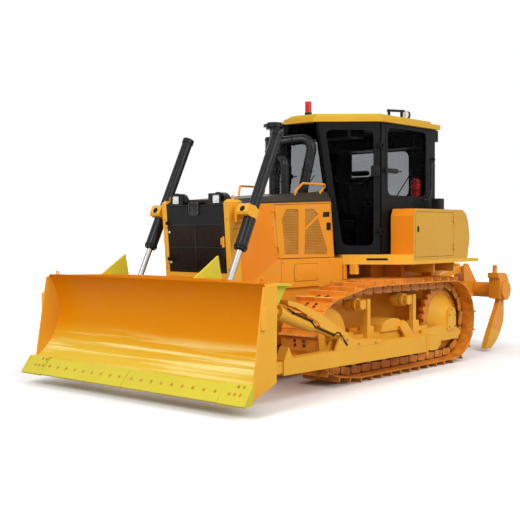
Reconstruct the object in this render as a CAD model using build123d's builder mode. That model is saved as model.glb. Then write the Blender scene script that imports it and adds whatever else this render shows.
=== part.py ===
from build123d import *
import os
from math import atan2, cos, degrees, hypot, pi, radians, sin, sqrt

os.makedirs("parts", exist_ok=True)

# The machine stands on its tracks: x to its left, y to its rear, z up, all in mm.

# Driving dimensions
overall_length = 6474
blade_width = 3388
track_gauge = 1880
shoe_width = 510
chain_pitch = 203.2
shoe_count = 37
hood_half_width = 500
cab_half_width = 830
joint_gap = 6

blade_tip_y = -overall_length / 2
ripper_rear_y = overall_length / 2

# Track
track_x = track_gauge / 2
pitch_line_z = 119
plate_outer = 69
plate_inner = 55
grouser_height = pitch_line_z
rail_depth = 45
rail_width = 38
rail_offset = 62
sprocket_y = 1392
sprocket_radius = chain_pitch * 13.5 / (2 * pi) * 1.009
sprocket_z = pitch_line_z + sprocket_radius
idler_radius = 367
idler_z = 535
idler_guess_y = -1273
first_roller_y = -620
chain_phase = 92
carrier_places = (-560, 420)
carrier_line_z = 1009
roller_count = 6
roller_pitch = 308
roller_radius = 92
carrier_radius = 84
track_inner_x = track_x - shoe_width / 2
track_outer_x = track_x + shoe_width / 2

# Frame, platform and hood
belly_z = 430
frame_top_z = 1120
hood_rear_y = -362
hood_rear_low_y = -290
radiator_lean = 60
platform_z = 1420
platform_low_z = 1300
deck_z = 1345
deck_rear_y = 1992
box_front_y = 375
box_top_z = 1980
box_inner_x = cab_half_width + 41
box_outer_x = 1195

# Cab
cab_front_half = 245
cab_front_y = -300
cab_bend_y = 219
cab_rear_y = 1486
roof_z = 3075
roof_top_z = 3130

# Blade, push arms and lift cylinders
pivot_y = 470
pivot_z = 360
arm_x = 1390
arm_width = 120
arm_front_y = -2387
blade_top_z = 1190
blade_half = 1640
lift_x = 690
deflector_x = 711
swing_y = -2003
swing_z = 1900
eye_y = -2559
eye_z = 760
barrel_radius = 60
sleeve_radius = 68
swing_pin_radius = 30
pin_play = 0.05
lift_rod_radius = 34
barrel_top = 985
gland_reach = 425

# Ripper
beam_y = 3105
beam_z = 850
beam_radius = 132
beam_half = 1050
link_run = 870
link_rise = 150
lower_pin_y = 1990
lower_pin_z = 650
upper_pin_y = 1940
upper_pin_z = 1010
ripper_arm_x = 475
ripper_cyl_x = 250
ripper_head_y = 1985
ripper_head_z = 1215
ripper_eye_y = 2560
ripper_eye_z = 748
ripper_pin_radius = 32
link_pin_radius = 24
shank_places = (-930, 0, 930)


def block(x, y, z, mode=Mode.ADD):
    """Adds a box between two limits on each axis."""
    with Locations(((x[0] + x[1]) / 2, (y[0] + y[1]) / 2, (z[0] + z[1]) / 2)):
        Box(x[1] - x[0], y[1] - y[0], z[1] - z[0], mode=mode)


def pair_block(x, y, z, mode=Mode.ADD):
    """Adds a box and its mirror image on the other side."""
    block(x, y, z, mode)
    block((-x[1], -x[0]), y, z, mode)


def side_shape(points, x, mode=Mode.ADD):
    """Extrudes a closed outline of (y, z) points from x[0] to x[1]."""
    with BuildSketch(Plane.YZ.offset(x[0])) as outline:
        with BuildLine():
            Polyline(*points, close=True)
        make_face()
    extrude(outline.sketch, amount=x[1] - x[0], mode=mode)


def pair_shape(points, x, mode=Mode.ADD):
    """Extrudes a side outline on both sides of the machine."""
    side_shape(points, x, mode)
    side_shape(points, (-x[1], -x[0]), mode)


def plan_shape(points, z, mode=Mode.ADD):
    """Extrudes a closed outline of (x, y) points from z[0] to z[1]."""
    with BuildSketch(Plane.XY.offset(z[0])) as outline:
        with BuildLine():
            Polyline(*points, close=True)
        make_face()
    extrude(outline.sketch, amount=z[1] - z[0], mode=mode)


def front_shape(points, y, mode=Mode.ADD):
    """Extrudes a closed outline of (x, z) points from y[0] to y[1]."""
    with BuildSketch(Plane(origin=(0, y[1], 0), x_dir=(1, 0, 0), z_dir=(0, -1, 0))) as outline:
        with BuildLine():
            Polyline(*points, close=True)
        make_face()
    extrude(outline.sketch, amount=y[1] - y[0], mode=mode)


def disc(x, y, z, radius, mode=Mode.ADD):
    """Adds a cylinder along x between x[0] and x[1]."""
    with Locations(Plane(origin=(x[0], y, z), x_dir=(0, 1, 0), z_dir=(1, 0, 0))):
        Cylinder(radius, x[1] - x[0], align=(Align.CENTER, Align.CENTER, Align.MIN), mode=mode)


def pair_disc(x, y, z, radius, mode=Mode.ADD):
    """Adds a cylinder along x on both sides."""
    disc(x, y, z, radius, mode)
    disc((-x[1], -x[0]), y, z, radius, mode)


def bar(start, end, radius, mode=Mode.ADD):
    """Adds a round bar from one point to another."""
    way = Vector(*end) - Vector(*start)
    with Locations(Plane(origin=start, z_dir=way)):
        Cylinder(radius, way.length, align=(Align.CENTER, Align.CENTER, Align.MIN), mode=mode)


def upright(x, y, z, radius, mode=Mode.ADD):
    """Adds an upright cylinder between z[0] and z[1]."""
    with Locations((x, y, z[0])):
        Cylinder(radius, z[1] - z[0], align=(Align.CENTER, Align.CENTER, Align.MIN), mode=mode)


def save(builder, name):
    """Labels a finished piece and writes its STEP file."""
    builder.part.label = name
    export_step(builder.part, f"parts/{name}.step")


# Track path: the line through the chain's pins

def tangent_arc(centre, radius, start, end, steps):
    """Points on a circle between two angles in degrees."""
    return [(centre[0] + radius * cos(radians(start + (end - start) * i / steps)),
             centre[1] + radius * sin(radians(start + (end - start) * i / steps)))
            for i in range(steps + 1)]


def track_path(idler_y):
    """The closed pin line as points in y and z, from the sprocket's foot forward."""
    idler = (idler_y, idler_z)
    foot = (first_roller_y - 115, pitch_line_z)
    front = (carrier_places[0], carrier_line_z)
    reach = hypot(idler[0] - foot[0], idler[1] - foot[1])
    toward = degrees(atan2(idler[1] - foot[1], idler[0] - foot[0]))
    low = toward + 90 + degrees(atan2(idler_radius, sqrt(reach ** 2 - idler_radius ** 2)))
    reach = hypot(front[0] - idler[0], front[1] - idler[1])
    toward = degrees(atan2(front[1] - idler[1], front[0] - idler[0]))
    high = toward + degrees(atan2(sqrt(reach ** 2 - idler_radius ** 2), idler_radius))
    path = [(sprocket_y, pitch_line_z), foot]
    path += tangent_arc(idler, idler_radius, low, high, 40)
    path += [front, (carrier_places[1], carrier_line_z)]
    path += tangent_arc((sprocket_y, sprocket_z), sprocket_radius, 90, -90, 60)
    return path


def path_length(path):
    """Length of a closed line of points."""
    return sum(hypot(b[0] - a[0], b[1] - a[1]) for a, b in zip(path, path[1:] + path[:1]))


def tensioned_idler():
    """Finds the idler's place at which the path holds a whole number of links."""
    low, high = idler_guess_y - 300, idler_guess_y + 300
    for _ in range(50):
        middle = (low + high) / 2
        if path_length(track_path(middle)) > shoe_count * chain_pitch:
            low = middle
        else:
            high = middle
    return middle


idler_y = tensioned_idler()
pin_path = track_path(idler_y)


def pins_on(path):
    """Places one pin every pitch along the closed path."""
    pins, travelled, wanted = [], 0.0, chain_phase
    step = path_length(path) / shoe_count
    for a, b in zip(path, path[1:] + path[:1]):
        length = hypot(b[0] - a[0], b[1] - a[1])
        while length > 0 and wanted <= travelled + length and len(pins) < shoe_count:
            share = (wanted - travelled) / length
            pins.append((a[0] + (b[0] - a[0]) * share, a[1] + (b[1] - a[1]) * share))
            wanted += step
        travelled += length
    return pins


pins = pins_on(pin_path)


def along(a, b, run, rise):
    """A point at a run along a link and a rise outside it."""
    length = hypot(b[0] - a[0], b[1] - a[1])
    uy, uz = (b[0] - a[0]) / length, (b[1] - a[1]) / length
    return (a[0] + uy * run + uz * rise * -1, a[1] + uz * run + uy * rise)


def link_line(rise):
    """A closed ring of points at one height over the links."""
    ring = []
    for i, a in enumerate(pins):
        b = pins[(i + 1) % shoe_count]
        ring += [along(a, b, chain_pitch * share, rise) for share in (0.15, 0.85)]
    return ring


def shoe_outline():
    """The outer outline of all shoes: a plate, a lug and a notch for each."""
    ring = []
    for i, a in enumerate(pins):
        b = pins[(i + 1) % shoe_count]
        size = chain_pitch
        ring += [along(a, b, 6, plate_outer - 9), along(a, b, 8, plate_outer),
                 along(a, b, size - 34, plate_outer), along(a, b, size - 26, grouser_height),
                 along(a, b, size - 12, grouser_height), along(a, b, size - 6, plate_outer - 9)]
    return ring


def ring_shape(outer, inner, x):
    """Extrudes a closed ring between an outer and an inner outline."""
    with BuildSketch(Plane.YZ.offset(x[0])) as ring:
        with BuildLine():
            Polyline(*outer, close=True)
        make_face()
        with BuildLine():
            Polyline(*inner, close=True)
        make_face(mode=Mode.SUBTRACT)
    extrude(ring.sketch, amount=x[1] - x[0])


def track_ring(x_middle):
    """One fixed track loop: shoes with lugs, and two chain rails inside."""
    ring_shape(shoe_outline(), link_line(plate_inner),
               (x_middle - shoe_width / 2, x_middle + shoe_width / 2))
    for side in (-1, 1):
        middle = x_middle + side * rail_offset
        ring_shape(link_line(plate_inner + 4), link_line(-rail_depth),
                   (middle - rail_width / 2, middle + rail_width / 2))


with BuildPart() as track_left:
    track_ring(track_x)
save(track_left, "track_left")

with BuildPart() as track_right:
    track_ring(-track_x)
save(track_right, "track_right")


# Sprockets: toothed rings between the two chain rails

hub_radius = 205


def sprocket_ring(x_middle):
    """One sprocket with its hub, teeth cut square."""
    tip, root, count = sprocket_radius + 14, sprocket_radius - 30, 27
    ring = []
    for i in range(count):
        base = 360 / count * i
        for turn, radius in ((-4.6, root), (-2.6, tip), (2.6, tip), (4.6, root)):
            ring.append((sprocket_y + radius * cos(radians(base + turn)),
                         sprocket_z + radius * sin(radians(base + turn))))
    side_shape(ring, (x_middle - 28, x_middle + 28))
    disc((x_middle - 28, x_middle + 28), sprocket_y, sprocket_z, hub_radius, mode=Mode.SUBTRACT)


with BuildPart() as sprocket_left:
    sprocket_ring(track_x)
save(sprocket_left, "sprocket_left")

with BuildPart() as sprocket_right:
    sprocket_ring(-track_x)
save(sprocket_right, "sprocket_right")


# Track frames with idler, rollers, guards and final-drive housing

idler_gap = 1
frame_in = track_x - 150
frame_out = track_x + 150
rib_count = 11


def place(x, side):
    """Turns distances out from the middle into an x range on one side."""
    return (x[0], x[1]) if side > 0 else (-x[1], -x[0])


def track_frame(side):
    """Everything of one undercarriage that stands still inside the loop."""
    wheel = idler_radius * cos(chain_pitch / 2 / idler_radius) - rail_depth - idler_gap
    disc(place((track_x - 85, track_x + 85), side), idler_y, idler_z, wheel)
    disc(place((track_x - 36, track_x + 36), side), idler_y, idler_z, wheel + 22)
    disc(place((frame_in, frame_out), side), idler_y, idler_z, 70)
    roller_z = pitch_line_z + rail_depth + roller_radius
    for i in range(roller_count):
        y = first_roller_y + roller_pitch * i
        disc(place((frame_in, frame_out), side), y, roller_z, 45)
        disc(place((track_x - 85, track_x + 85), side), y, roller_z, roller_radius)
    for y in carrier_places:
        z = carrier_line_z - rail_depth - carrier_radius - 16
        disc(place((track_x - 85, frame_out + 20), side), y, z, carrier_radius - 26)
        disc(place((track_x - 40, track_x + 40), side), y, z, carrier_radius)
        disc(place((track_x + 62, track_x + 100), side), y, z, carrier_radius - 6)
        block(place((frame_out - 30, frame_out + 30), side), (y + 72, y + 132), (520, z + 62))
        block(place((frame_out - 60, frame_out + 36), side), (y + 60, y + 190), (470, 610))
        block(place((frame_out - 60, frame_out + 10), side), (y - 50, y + 110), (z - 52, z + 52))
    beam = [(idler_y + 330, 345), (900, 345), (900, 520), (idler_y + 330, 520)]
    side_shape(beam, place((frame_in + 20, frame_out - 20), side))
    hump = [(-180, 519), (-150, 600), (-70, 652), (60, 668), (180, 655), (260, 620), (390, 519)]
    side_shape(hump, place((frame_in + 40, frame_out + 10), side))
    side_shape([(180, 560), (262, 632), (330, 600), (430, 500), (430, 420), (300, 420)],
               place((frame_out + 10, frame_out + 40), side))
    yoke = [(idler_y - 40, idler_z - 60), (idler_y + 360, 360), (idler_y + 360, 560),
            (idler_y - 40, idler_z + 60)]
    side_shape(yoke, place((frame_out - 50, frame_out), side))
    side_shape(yoke, place((frame_in, frame_in + 50), side))
    guard = [(first_roller_y - 170, 250), (first_roller_y - 80, 205), (1090, 205), (1180, 250),
             (1180, 350), (first_roller_y - 170, 350)]
    side_shape(guard, place((frame_out, frame_out + 14), side))
    side_shape(guard, place((frame_in - 24, frame_in), side))
    for i in range(rib_count):
        y = first_roller_y + 40 + 150 * i
        side_shape([(y, 232), (y + 36, 232), (y + 36, 340), (y, 340)],
                   place((frame_out + 14, frame_out + 36), side))
    side_shape([(700, 300), (1560, 300), (1660, 376), (1480, 500), (1120, 500), (700, 470)],
               place((frame_out - 40, frame_out + 30), side))
    disc(place((frame_in - 40, track_x - 28), side), sprocket_y, sprocket_z, hub_radius + 35)
    disc(place((track_x - 28, track_x + 28), side), sprocket_y, sprocket_z, hub_radius)
    cover = Plane(origin=(side * (track_x + 28), sprocket_y, sprocket_z), x_dir=(0, 1, 0),
                  z_dir=(side, 0, 0))
    with Locations(cover):
        Cone(325, 150, frame_out - track_x - 8, align=(Align.CENTER, Align.CENTER, Align.MIN))
    side_shape([(sprocket_y - 95, 430), (sprocket_y + 110, 430), (sprocket_y + 110, 640),
                (sprocket_y + 70, 705), (sprocket_y - 20, 720), (sprocket_y - 75, 680)],
               place((frame_out - 40, frame_out + 46), side))
    disc(place((frame_out - 30, arm_x - 10), side), pivot_y, pivot_z, 75)
    block(place((frame_out - 60, frame_out + 24), side), (pivot_y - 150, pivot_y + 150), (350, 500))


with BuildPart() as track_frame_left:
    track_frame(1)
save(track_frame_left, "track_frame_left")

with BuildPart() as track_frame_right:
    track_frame(-1)
save(track_frame_right, "track_frame_right")


# Main frame: tub under the engine, cross beams, axle housings and rear case

tub_half = hood_half_width - 40
skin = 12

with BuildPart() as main_frame:
    block((-tub_half, tub_half), (-1960, 1500), (belly_z, belly_z + 30))
    pair_block((tub_half - 40, tub_half), (-1960, -1900), (belly_z, 980))
    pair_block((tub_half - 40, tub_half), (-1940, 1500), (belly_z, frame_top_z))
    pair_block((tub_half, hood_half_width - skin), (-1940, -140), (1062, frame_top_z))
    block((-420, 420), (600, 1880), (500, 1280))
    pair_block((tub_half, frame_in + 20), (-420, -260), (400, 560))
    pair_disc((tub_half - 20, frame_in + 20), pivot_y + 60, 440, 88)
    pair_disc((400, frame_in - 40), sprocket_y, sprocket_z, hub_radius + 35)
    lug = [(1880, 560), (1880, 1290), (2060, 1290), (2080, 1150), (2030, 900), (2090, 720),
           (2060, 575)]
    block((-ripper_arm_x - 85, ripper_arm_x + 85), (1850, 1880), (560, 1290))
    for x in (ripper_arm_x, ripper_cyl_x):
        pair_shape(lug, (x - 85, x - 56))
        pair_shape(lug, (x + 56, x + 85))
    pair_disc((ripper_arm_x - 60, ripper_arm_x + 60), lower_pin_y, lower_pin_z, ripper_pin_radius)
    pair_disc((ripper_arm_x - 60, ripper_arm_x + 60), upper_pin_y, upper_pin_z, link_pin_radius)
    pair_disc((ripper_cyl_x - 60, ripper_cyl_x + 60), ripper_head_y, ripper_head_z, link_pin_radius)
    pair_block((tub_half, 700), (870, 960), (1120, platform_low_z))
    pair_block((tub_half - 40, tub_half + 60), (-120, -60), (frame_top_z, platform_low_z))
    block((-420, 420), (1500, 1860), (1280, platform_low_z))
save(main_frame, "main_frame")


# Hinges: an outer pair of knuckles with the pin on the frame, a middle one on the door

hinge_radius = 12
hinge_pin_radius = 6
hinge_out = 12.5
leaf_reach = 40
leaf_plate = 6


def knuckles(at, way, leaf, frame):
    """One hinge's knuckles and leaves, for the frame or for the door."""
    unit = Vector(*way).normalized()
    for low, high in ((-42, -19), (19, 42)) if frame else ((-18, 18),):
        bar(tuple(Vector(*at) + unit * low), tuple(Vector(*at) + unit * high), hinge_radius)
        block(leaf[0], leaf[1], (at[2] + low + 2, at[2] + high - 2))
    if frame:
        bar(tuple(Vector(*at) - unit * 42), tuple(Vector(*at) + unit * 42), hinge_pin_radius)
    else:
        bar(tuple(Vector(*at) - unit * 19), tuple(Vector(*at) + unit * 19),
            hinge_pin_radius + pin_play, mode=Mode.SUBTRACT)


# Front: radiator guard, its grille door, lamp housings

def leaning(x, low, high, front, rear, mode=Mode.ADD):
    """A slab whose front and rear lean with the radiator."""
    lean = radiator_lean / 800
    side_shape([(front - (low - 1196) * lean, low), (rear - (low - 1196) * lean, low),
                (rear - (high - 1196) * lean, high), (front - (high - 1196) * lean, high)],
               x, mode)


guard_half = hood_half_width + 11
opening_half = 440
guard_front = -2111
grille_low_z = 1262


def grille_hinge(z, frame):
    """The grille door's hinge at one height, on the machine's right."""
    face = guard_front - 4 - (z - 1196) * radiator_lean / 800
    near = face + 4 if frame else face
    edge = -opening_half + 3
    ends = (edge - leaf_reach, edge) if frame else (edge, edge + leaf_reach)
    knuckles((edge, face - hinge_out, z), (0, -radiator_lean, 800), (ends, (face - leaf_plate, near + 3)),
             frame)


with BuildPart() as radiator_guard:
    leaning((-guard_half, guard_half), 980, 1996, guard_front, guard_front + 150)
    leaning((-opening_half, opening_half), grille_low_z - 6, 1985, guard_front - 20,
            guard_front + 60, mode=Mode.SUBTRACT)
    leaning((-opening_half + 60, opening_half - 60), grille_low_z + 30, 1940, guard_front - 20,
            guard_front + 200, mode=Mode.SUBTRACT)
    shoulder = [(-2171, 1985), (-2174, 2022), (-2150, 2050), (-1990, 2050), (-1962, 2036),
                (-1948, 1996), (-1948, 1700), (-2100, 1700)]
    pair_shape(shoulder, (opening_half, guard_half))
    for side in (-1, 1):
        front_shape([(side * (opening_half - 1), 2052), (side * (opening_half - 1), 2010),
                     (side * (opening_half + 32), 2052)], (-2200, -1900), mode=Mode.SUBTRACT)
        front_shape([(side * (guard_half + 1), 2052), (side * (guard_half + 1), 2020),
                     (side * (guard_half - 24), 2052)], (-2200, -1900), mode=Mode.SUBTRACT)
    block((-guard_half, guard_half), (-2105, -1960), (belly_z, 980))
    block((-120, 120), (-2180, -2105), (560, 700))
    disc((-121, 121), -2150, 630, 28, mode=Mode.SUBTRACT)
    block((-60, 60), (-2190, -2106), (555, 705), mode=Mode.SUBTRACT)
    for side in (-1, 1):
        block(place((guard_half, guard_half + 30), side), (swing_y - 70, swing_y + 50),
              (swing_z - 95, swing_z + 85))
        disc(place((guard_half + 30, lift_x - 104), side), swing_y, swing_z, 52)
        disc(place((lift_x - 104, lift_x - 70), side), swing_y, swing_z, swing_pin_radius)
    for z in (1400, 1800):
        grille_hinge(z, True)
save(radiator_guard, "radiator_guard")

with BuildPart() as grille_door:
    leaning((-opening_half + joint_gap, opening_half - joint_gap), grille_low_z, 1979,
            guard_front - 4, guard_front + 22)
    for start in (-opening_half + 50, 15):
        leaning((start, start + opening_half - 65), 1291, 1775, guard_front - 10,
                guard_front + 40, mode=Mode.SUBTRACT)
    for step in range(1, 8):
        z = 1291 + 60.5 * step
        for start in (-opening_half + 46, 11):
            leaning((start, start + opening_half - 57), z - 5, z + 5, guard_front + 2,
                    guard_front + 12)
    for step in range(1, 6):
        for start in (-opening_half + 50, 15):
            x = start + 62.5 * step
            leaning((x - 5, x + 5), 1287, 1779, guard_front + 3, guard_front + 11)
    for z in (1400, 1800):
        grille_hinge(z, False)
save(grille_door, "grille_door")

with BuildPart() as headlamps:
    for side in (-1, 1):
        block(place((200, 425), side), (-2155, -2030), (1996, 2030))
        block(place((200, 385), side), (-2155, -2118), (2030, 2118))
        with Locations(Plane(origin=(side * 318, -2128, 2024), z_dir=(0, 1, 0))):
            Cylinder(107, 98, align=(Align.CENTER, Align.CENTER, Align.MIN))
        block(place((180, 445), side), (-2200, -1990), (1880, 1996), mode=Mode.SUBTRACT)
        block(place((248, 372), side), (-2160, -2140), (2004, 2110), mode=Mode.SUBTRACT)
        block(place((248, 372), side), (-2146, -2139), (2003, 2111))
    block((-60, 60), (-2150, -2060), (1996, 2026))
save(headlamps, "headlamps")


# Hood: dark top, yellow sides with the engine doors, engine block inside

hood_slope = 75 / 1900


def hood_z(y):
    """Height of the hood sides' upper edge at a place along the machine."""
    return 1990 + (y + 2160) * hood_slope


door_front_low, door_front_high = -1335, -1408
door_rear_low, door_rear_high = -306, -378
door_low_z = 1400
door_corners = [(door_front_low, door_low_z), (door_front_high, hood_z(door_front_high) - 20),
                (door_rear_high, hood_z(door_rear_high) - 20), (door_rear_low, 1396)]



def engine_door_hinge(side, z, frame):
    """An engine door's hinge at one height, on its slanted front edge."""
    tilt = (door_front_high - door_front_low) / (door_corners[1][1] - door_low_z)
    y = door_front_low + (z - door_low_z) * tilt
    ends = (y - leaf_reach - joint_gap, y - joint_gap) if frame else (y, y + leaf_reach)
    knuckles((side * (hood_half_width + hinge_out), y, z), (0, tilt, 1),
             (place((hood_half_width, hood_half_width + leaf_plate), side), ends), frame)


with BuildPart() as hood_sides:
    panel = [(-1950, 1062), (-130, 1062), (-130, 1384), (hood_rear_low_y, 1384),
             (hood_rear_y, hood_z(hood_rear_y)), (-2018, hood_z(-2018))]
    pair_shape(panel, (hood_half_width - skin, hood_half_width))
    hole = [(y + (joint_gap if i > 1 else -joint_gap), z + (joint_gap if i in (1, 2) else -joint_gap))
            for i, (y, z) in enumerate(door_corners)]
    pair_shape(hole, (hood_half_width - skin - 1, hood_half_width + 1), mode=Mode.SUBTRACT)
    block((-hood_half_width + skin, hood_half_width - skin), (hood_rear_y - 12, hood_rear_y),
          (1384, 2045))
    for side in (-1, 1):
        for z in (1500, 1900):
            engine_door_hinge(side, z, True)
    add(radiator_guard.part, mode=Mode.SUBTRACT)
save(hood_sides, "hood_sides")


def engine_door(side):
    """One engine side door with three cut openings filled with bars."""
    outer = place((hood_half_width - skin, hood_half_width), side)
    side_shape(door_corners, outer)
    openings = ([(-1194, 1960), (-998, 1963), (-974, 1940), (-979, 1440), (-1225, 1445), (-1272, 1850)],
                [(-857, 1966), (-700, 1968), (-602, 1905), (-857, 1745)],
                [(-612, 1862), (-430, 1470), (-440, 1429), (-868, 1438), (-857, 1715)])
    for opening in openings:
        side_shape(opening, place((hood_half_width - skin - 1, hood_half_width + 1), side),
                   mode=Mode.SUBTRACT)
        side_shape(opening, place((hood_half_width - skin + 2, hood_half_width - skin + 5), side))
    for z in (1500, 1900):
        engine_door_hinge(side, z, False)


with BuildPart() as engine_door_left:
    engine_door(1)
save(engine_door_left, "engine_door_left")

with BuildPart() as engine_door_right:
    engine_door(-1)
save(engine_door_right, "engine_door_right")

with BuildPart() as hood_top:
    front_y, back_y = -1946, hood_rear_y
    for y, rise in ((front_y, 62), (back_y, 122)):
        with BuildSketch(Plane(origin=(0, y, hood_z(y)), x_dir=(1, 0, 0), z_dir=(0, -1, 0))):
            with BuildLine():
                Polyline((-hood_half_width, 0), (-hood_half_width, 24),
                         (-hood_half_width + 62, rise), (hood_half_width - 62, rise),
                         (hood_half_width, 24), (hood_half_width, 0), close=True)
            make_face()
    loft()
    block((-opening_half, opening_half), (-2025, front_y), (1998, 2050))
save(hood_top, "hood_top")

rail_x = 430
rail_top_z = 2262

with BuildPart() as hood_rails:
    for side in (-1, 1):
        with BuildLine() as rail_path:
            bend = FilletPolyline((side * rail_x, -985, 2060), (side * (rail_x + 14), -960, 2170),
                                  (side * (rail_x + 60), -890, rail_top_z),
                                  (side * (rail_x + 60), -430, rail_top_z),
                                  (side * (rail_x + 14), -500, 2170),
                                  (side * rail_x, -515, 2080), radius=30)
        with BuildSketch(Plane(origin=bend @ 0, z_dir=bend % 0)):
            Circle(13)
        sweep(path=rail_path.line)
    add(hood_top.part, mode=Mode.SUBTRACT)
save(hood_rails, "hood_rails")

with BuildPart() as engine_block:
    block((-300, 300), (-1700, -500), (belly_z + 30, 1850))
    block((-400, 400), (-1940, -1830), (belly_z + 30, 1900))
    block((-150, 150), (-500, 600), (600, 1000))
save(engine_block, "engine_block")


# Air cleaner, pre-cleaner and exhaust on the hood

cleaner_x, cleaner_y = -150, -640

with BuildPart() as air_intake:
    upright(cleaner_x, cleaner_y, (hood_z(cleaner_y) + 60, 2420), 66)
    upright(cleaner_x, cleaner_y, (2400, 2440), 92)
    upright(cleaner_x, cleaner_y, (2440, 2850), 112)
    upright(cleaner_x, cleaner_y, (2850, 2945), 56)
    upright(cleaner_x, cleaner_y, (2945, 2972), 100)
    upright(cleaner_x, cleaner_y, (2972, 3008), 132)
    upright(cleaner_x, cleaner_y, (3008, 3030), 90)
    for points, radius, turn in (([(cleaner_x + 40, cleaner_y + 20, 2790), (300, -430, 2835),
                                   (170, -520, 2100)], 62, 120),
                                 ([(cleaner_x + 40, cleaner_y, 2620), (95, -735, 2560),
                                   (105, -740, 2080)], 52, 90)):
        with BuildLine() as pipe_path:
            bend = FilletPolyline(*points, radius=turn)
        with BuildSketch(Plane(origin=bend @ 0, z_dir=bend % 0)):
            Circle(radius)
        sweep(path=pipe_path.line)
    add(hood_top.part, mode=Mode.SUBTRACT)
save(air_intake, "air_intake")


# Platform, side boxes and rear tank

deck_x = cab_half_width + 35

with BuildPart() as platform:
    plan_shape([(-500, -125), (500, -125), (box_outer_x, box_front_y), (deck_x, box_front_y),
                (deck_x, cab_rear_y), (-deck_x, cab_rear_y), (-deck_x, box_front_y),
                (-box_outer_x, box_front_y)], (platform_low_z, platform_z))
    pair_block((deck_x, box_outer_x), (box_front_y, deck_rear_y), (platform_low_z, deck_z))
    block((-deck_x, deck_x), (cab_rear_y, deck_rear_y), (platform_low_z, deck_z))
    pair_block((560, 640), (-60, 20), (1180, platform_low_z))
    pair_block((600, 1100), (1000, 1030), (1180, platform_low_z))
    pair_block((600, 1100), (1500, 1530), (1180, platform_low_z))
save(platform, "platform")


def box_section():
    """Side outline of a box beside the cab: chamfered front, rounded rear."""
    rear = [(1560, box_top_z), (1660, 1925), (1715, 1820), (1750, 1640), (1735, 1500),
            (1700, deck_z)]
    return [(box_front_y, deck_z), (box_front_y, 1890), (box_front_y + 45, box_top_z)] + rear


def box_hinge(z, frame):
    """The side box door's hinge at one height, at the door's rear edge."""
    ends = (1336, 1336 + leaf_reach) if frame else (1336 - leaf_reach, 1336)
    knuckles((box_outer_x + hinge_out, 1336, z), (0, 0, 1),
             ((box_outer_x - 1, box_outer_x + leaf_plate), ends), frame)


with BuildPart() as side_box_left:
    side_shape(box_section(), (box_inner_x, box_outer_x))
    door_hole = [(box_front_y + 40, 1385), (box_front_y + 40, 1870), (box_front_y + 75, 1945),
                 (1339, 1945), (1339, 1385)]
    side_shape(door_hole, (box_outer_x - 14, box_outer_x), mode=Mode.SUBTRACT)
    for z in (1500, 1850):
        box_hinge(z, True)
save(side_box_left, "side_box_left")

with BuildPart() as side_box_right:
    side_shape(box_section(), (-box_outer_x, -box_inner_x))
save(side_box_right, "side_box_right")

with BuildPart() as side_box_door:
    inset = [(box_front_y + 46, 1391), (box_front_y + 46, 1868), (box_front_y + 79, 1939),
             (1333, 1939), (1333, 1391)]
    side_shape(inset, (box_outer_x - 8, box_outer_x))
    for z in (1500, 1850):
        box_hinge(z, False)
save(side_box_door, "side_box_door")

with BuildPart() as rear_tank:
    side_shape([(cab_rear_y, deck_z), (cab_rear_y, 1960), (1640, 1960), (1720, 1820), (1745, 1500),
                (1700, deck_z)], (-box_inner_x, box_inner_x))
save(rear_tank, "rear_tank")


# Cab

cab_floor_z = platform_z
a_low = (415, -150)
a_high = (cab_front_half, cab_front_y)
door_way = Vector(a_high[0] - cab_half_width, a_high[1] - cab_bend_y, 0)
door_length = door_way.length
roof_under = 3040


def cab_hinge(side, z, frame):
    """A cab door's hinge at one height, outside the middle post."""
    run, out = 8, 32 + hinge_out
    length = door_way.length
    x = cab_half_width + (door_way.X * run - door_way.Y * out) / length
    y = cab_bend_y + (door_way.Y * run + door_way.X * out) / length
    if frame:
        block(place((cab_half_width - 2, x - 4), side), (240, 262), (z - 42, z + 42))
        knuckles((side * x, y, z), (0, 0, 1), (place((x - 8, x + 6), side), (y, 262)), True)
    else:
        knuckles((side * x, y, z), (0, 0, 1), (place((x - 32, x - 2), side), (y - 44, y - 6)), False)


wall_x = cab_half_width - 60
floor_x = cab_half_width - 50
eave_x = cab_half_width + 50
crown_x = cab_half_width - 40

with BuildPart() as cab_frame:
    plan_shape([(-415, -120), (415, -120), (floor_x, 215), (floor_x, cab_rear_y - 20),
                (-floor_x, cab_rear_y - 20), (-floor_x, 215)],
               (cab_floor_z, cab_floor_z + 25))
    for side in (-1, 1):
        foot = Vector(side * 385, -125, cab_floor_z + 2)
        head = Vector(side * 222, -268, roof_under)
        way = head - foot
        with Locations(Plane(origin=(foot + head) * 0.5, x_dir=(1, 0, 0), z_dir=way)):
            Box(50, 50, way.length + 80, align=(Align.CENTER, Align.CENTER, Align.CENTER))
        block(place((cab_half_width - 70, cab_half_width), side), (230, 320), (cab_floor_z, roof_under))
        block(place((wall_x, cab_half_width), side), (1300, cab_rear_y), (cab_floor_z, roof_under))
        block(place((cab_half_width - 30, cab_half_width), side), (320, 1300), (cab_floor_z, 2115))
    block((-wall_x, wall_x), (cab_rear_y - 40, cab_rear_y), (cab_floor_z, 2150))
    block((-350, 350), (-158, -130), (cab_floor_z, 2060))
    block((-330, 330), (-361, -158), (cab_floor_z, 2045))
    block((-wall_x, wall_x), (cab_rear_y - 40, cab_rear_y), (roof_under - 60, roof_under))
    block((-cab_half_width + 30, cab_half_width - 30), (cab_rear_y, cab_rear_y + 130), (2890, roof_under))
    for side in (-1, 1):
        for z in (1700, 2750):
            cab_hinge(side, z, True)
    block((-500, 500), (-500, 0), (roof_under, roof_under + 200), mode=Mode.SUBTRACT)
    block((-500, 500), (-500, 100), (cab_floor_z - 200, cab_floor_z), mode=Mode.SUBTRACT)
save(cab_frame, "cab_frame")

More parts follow.
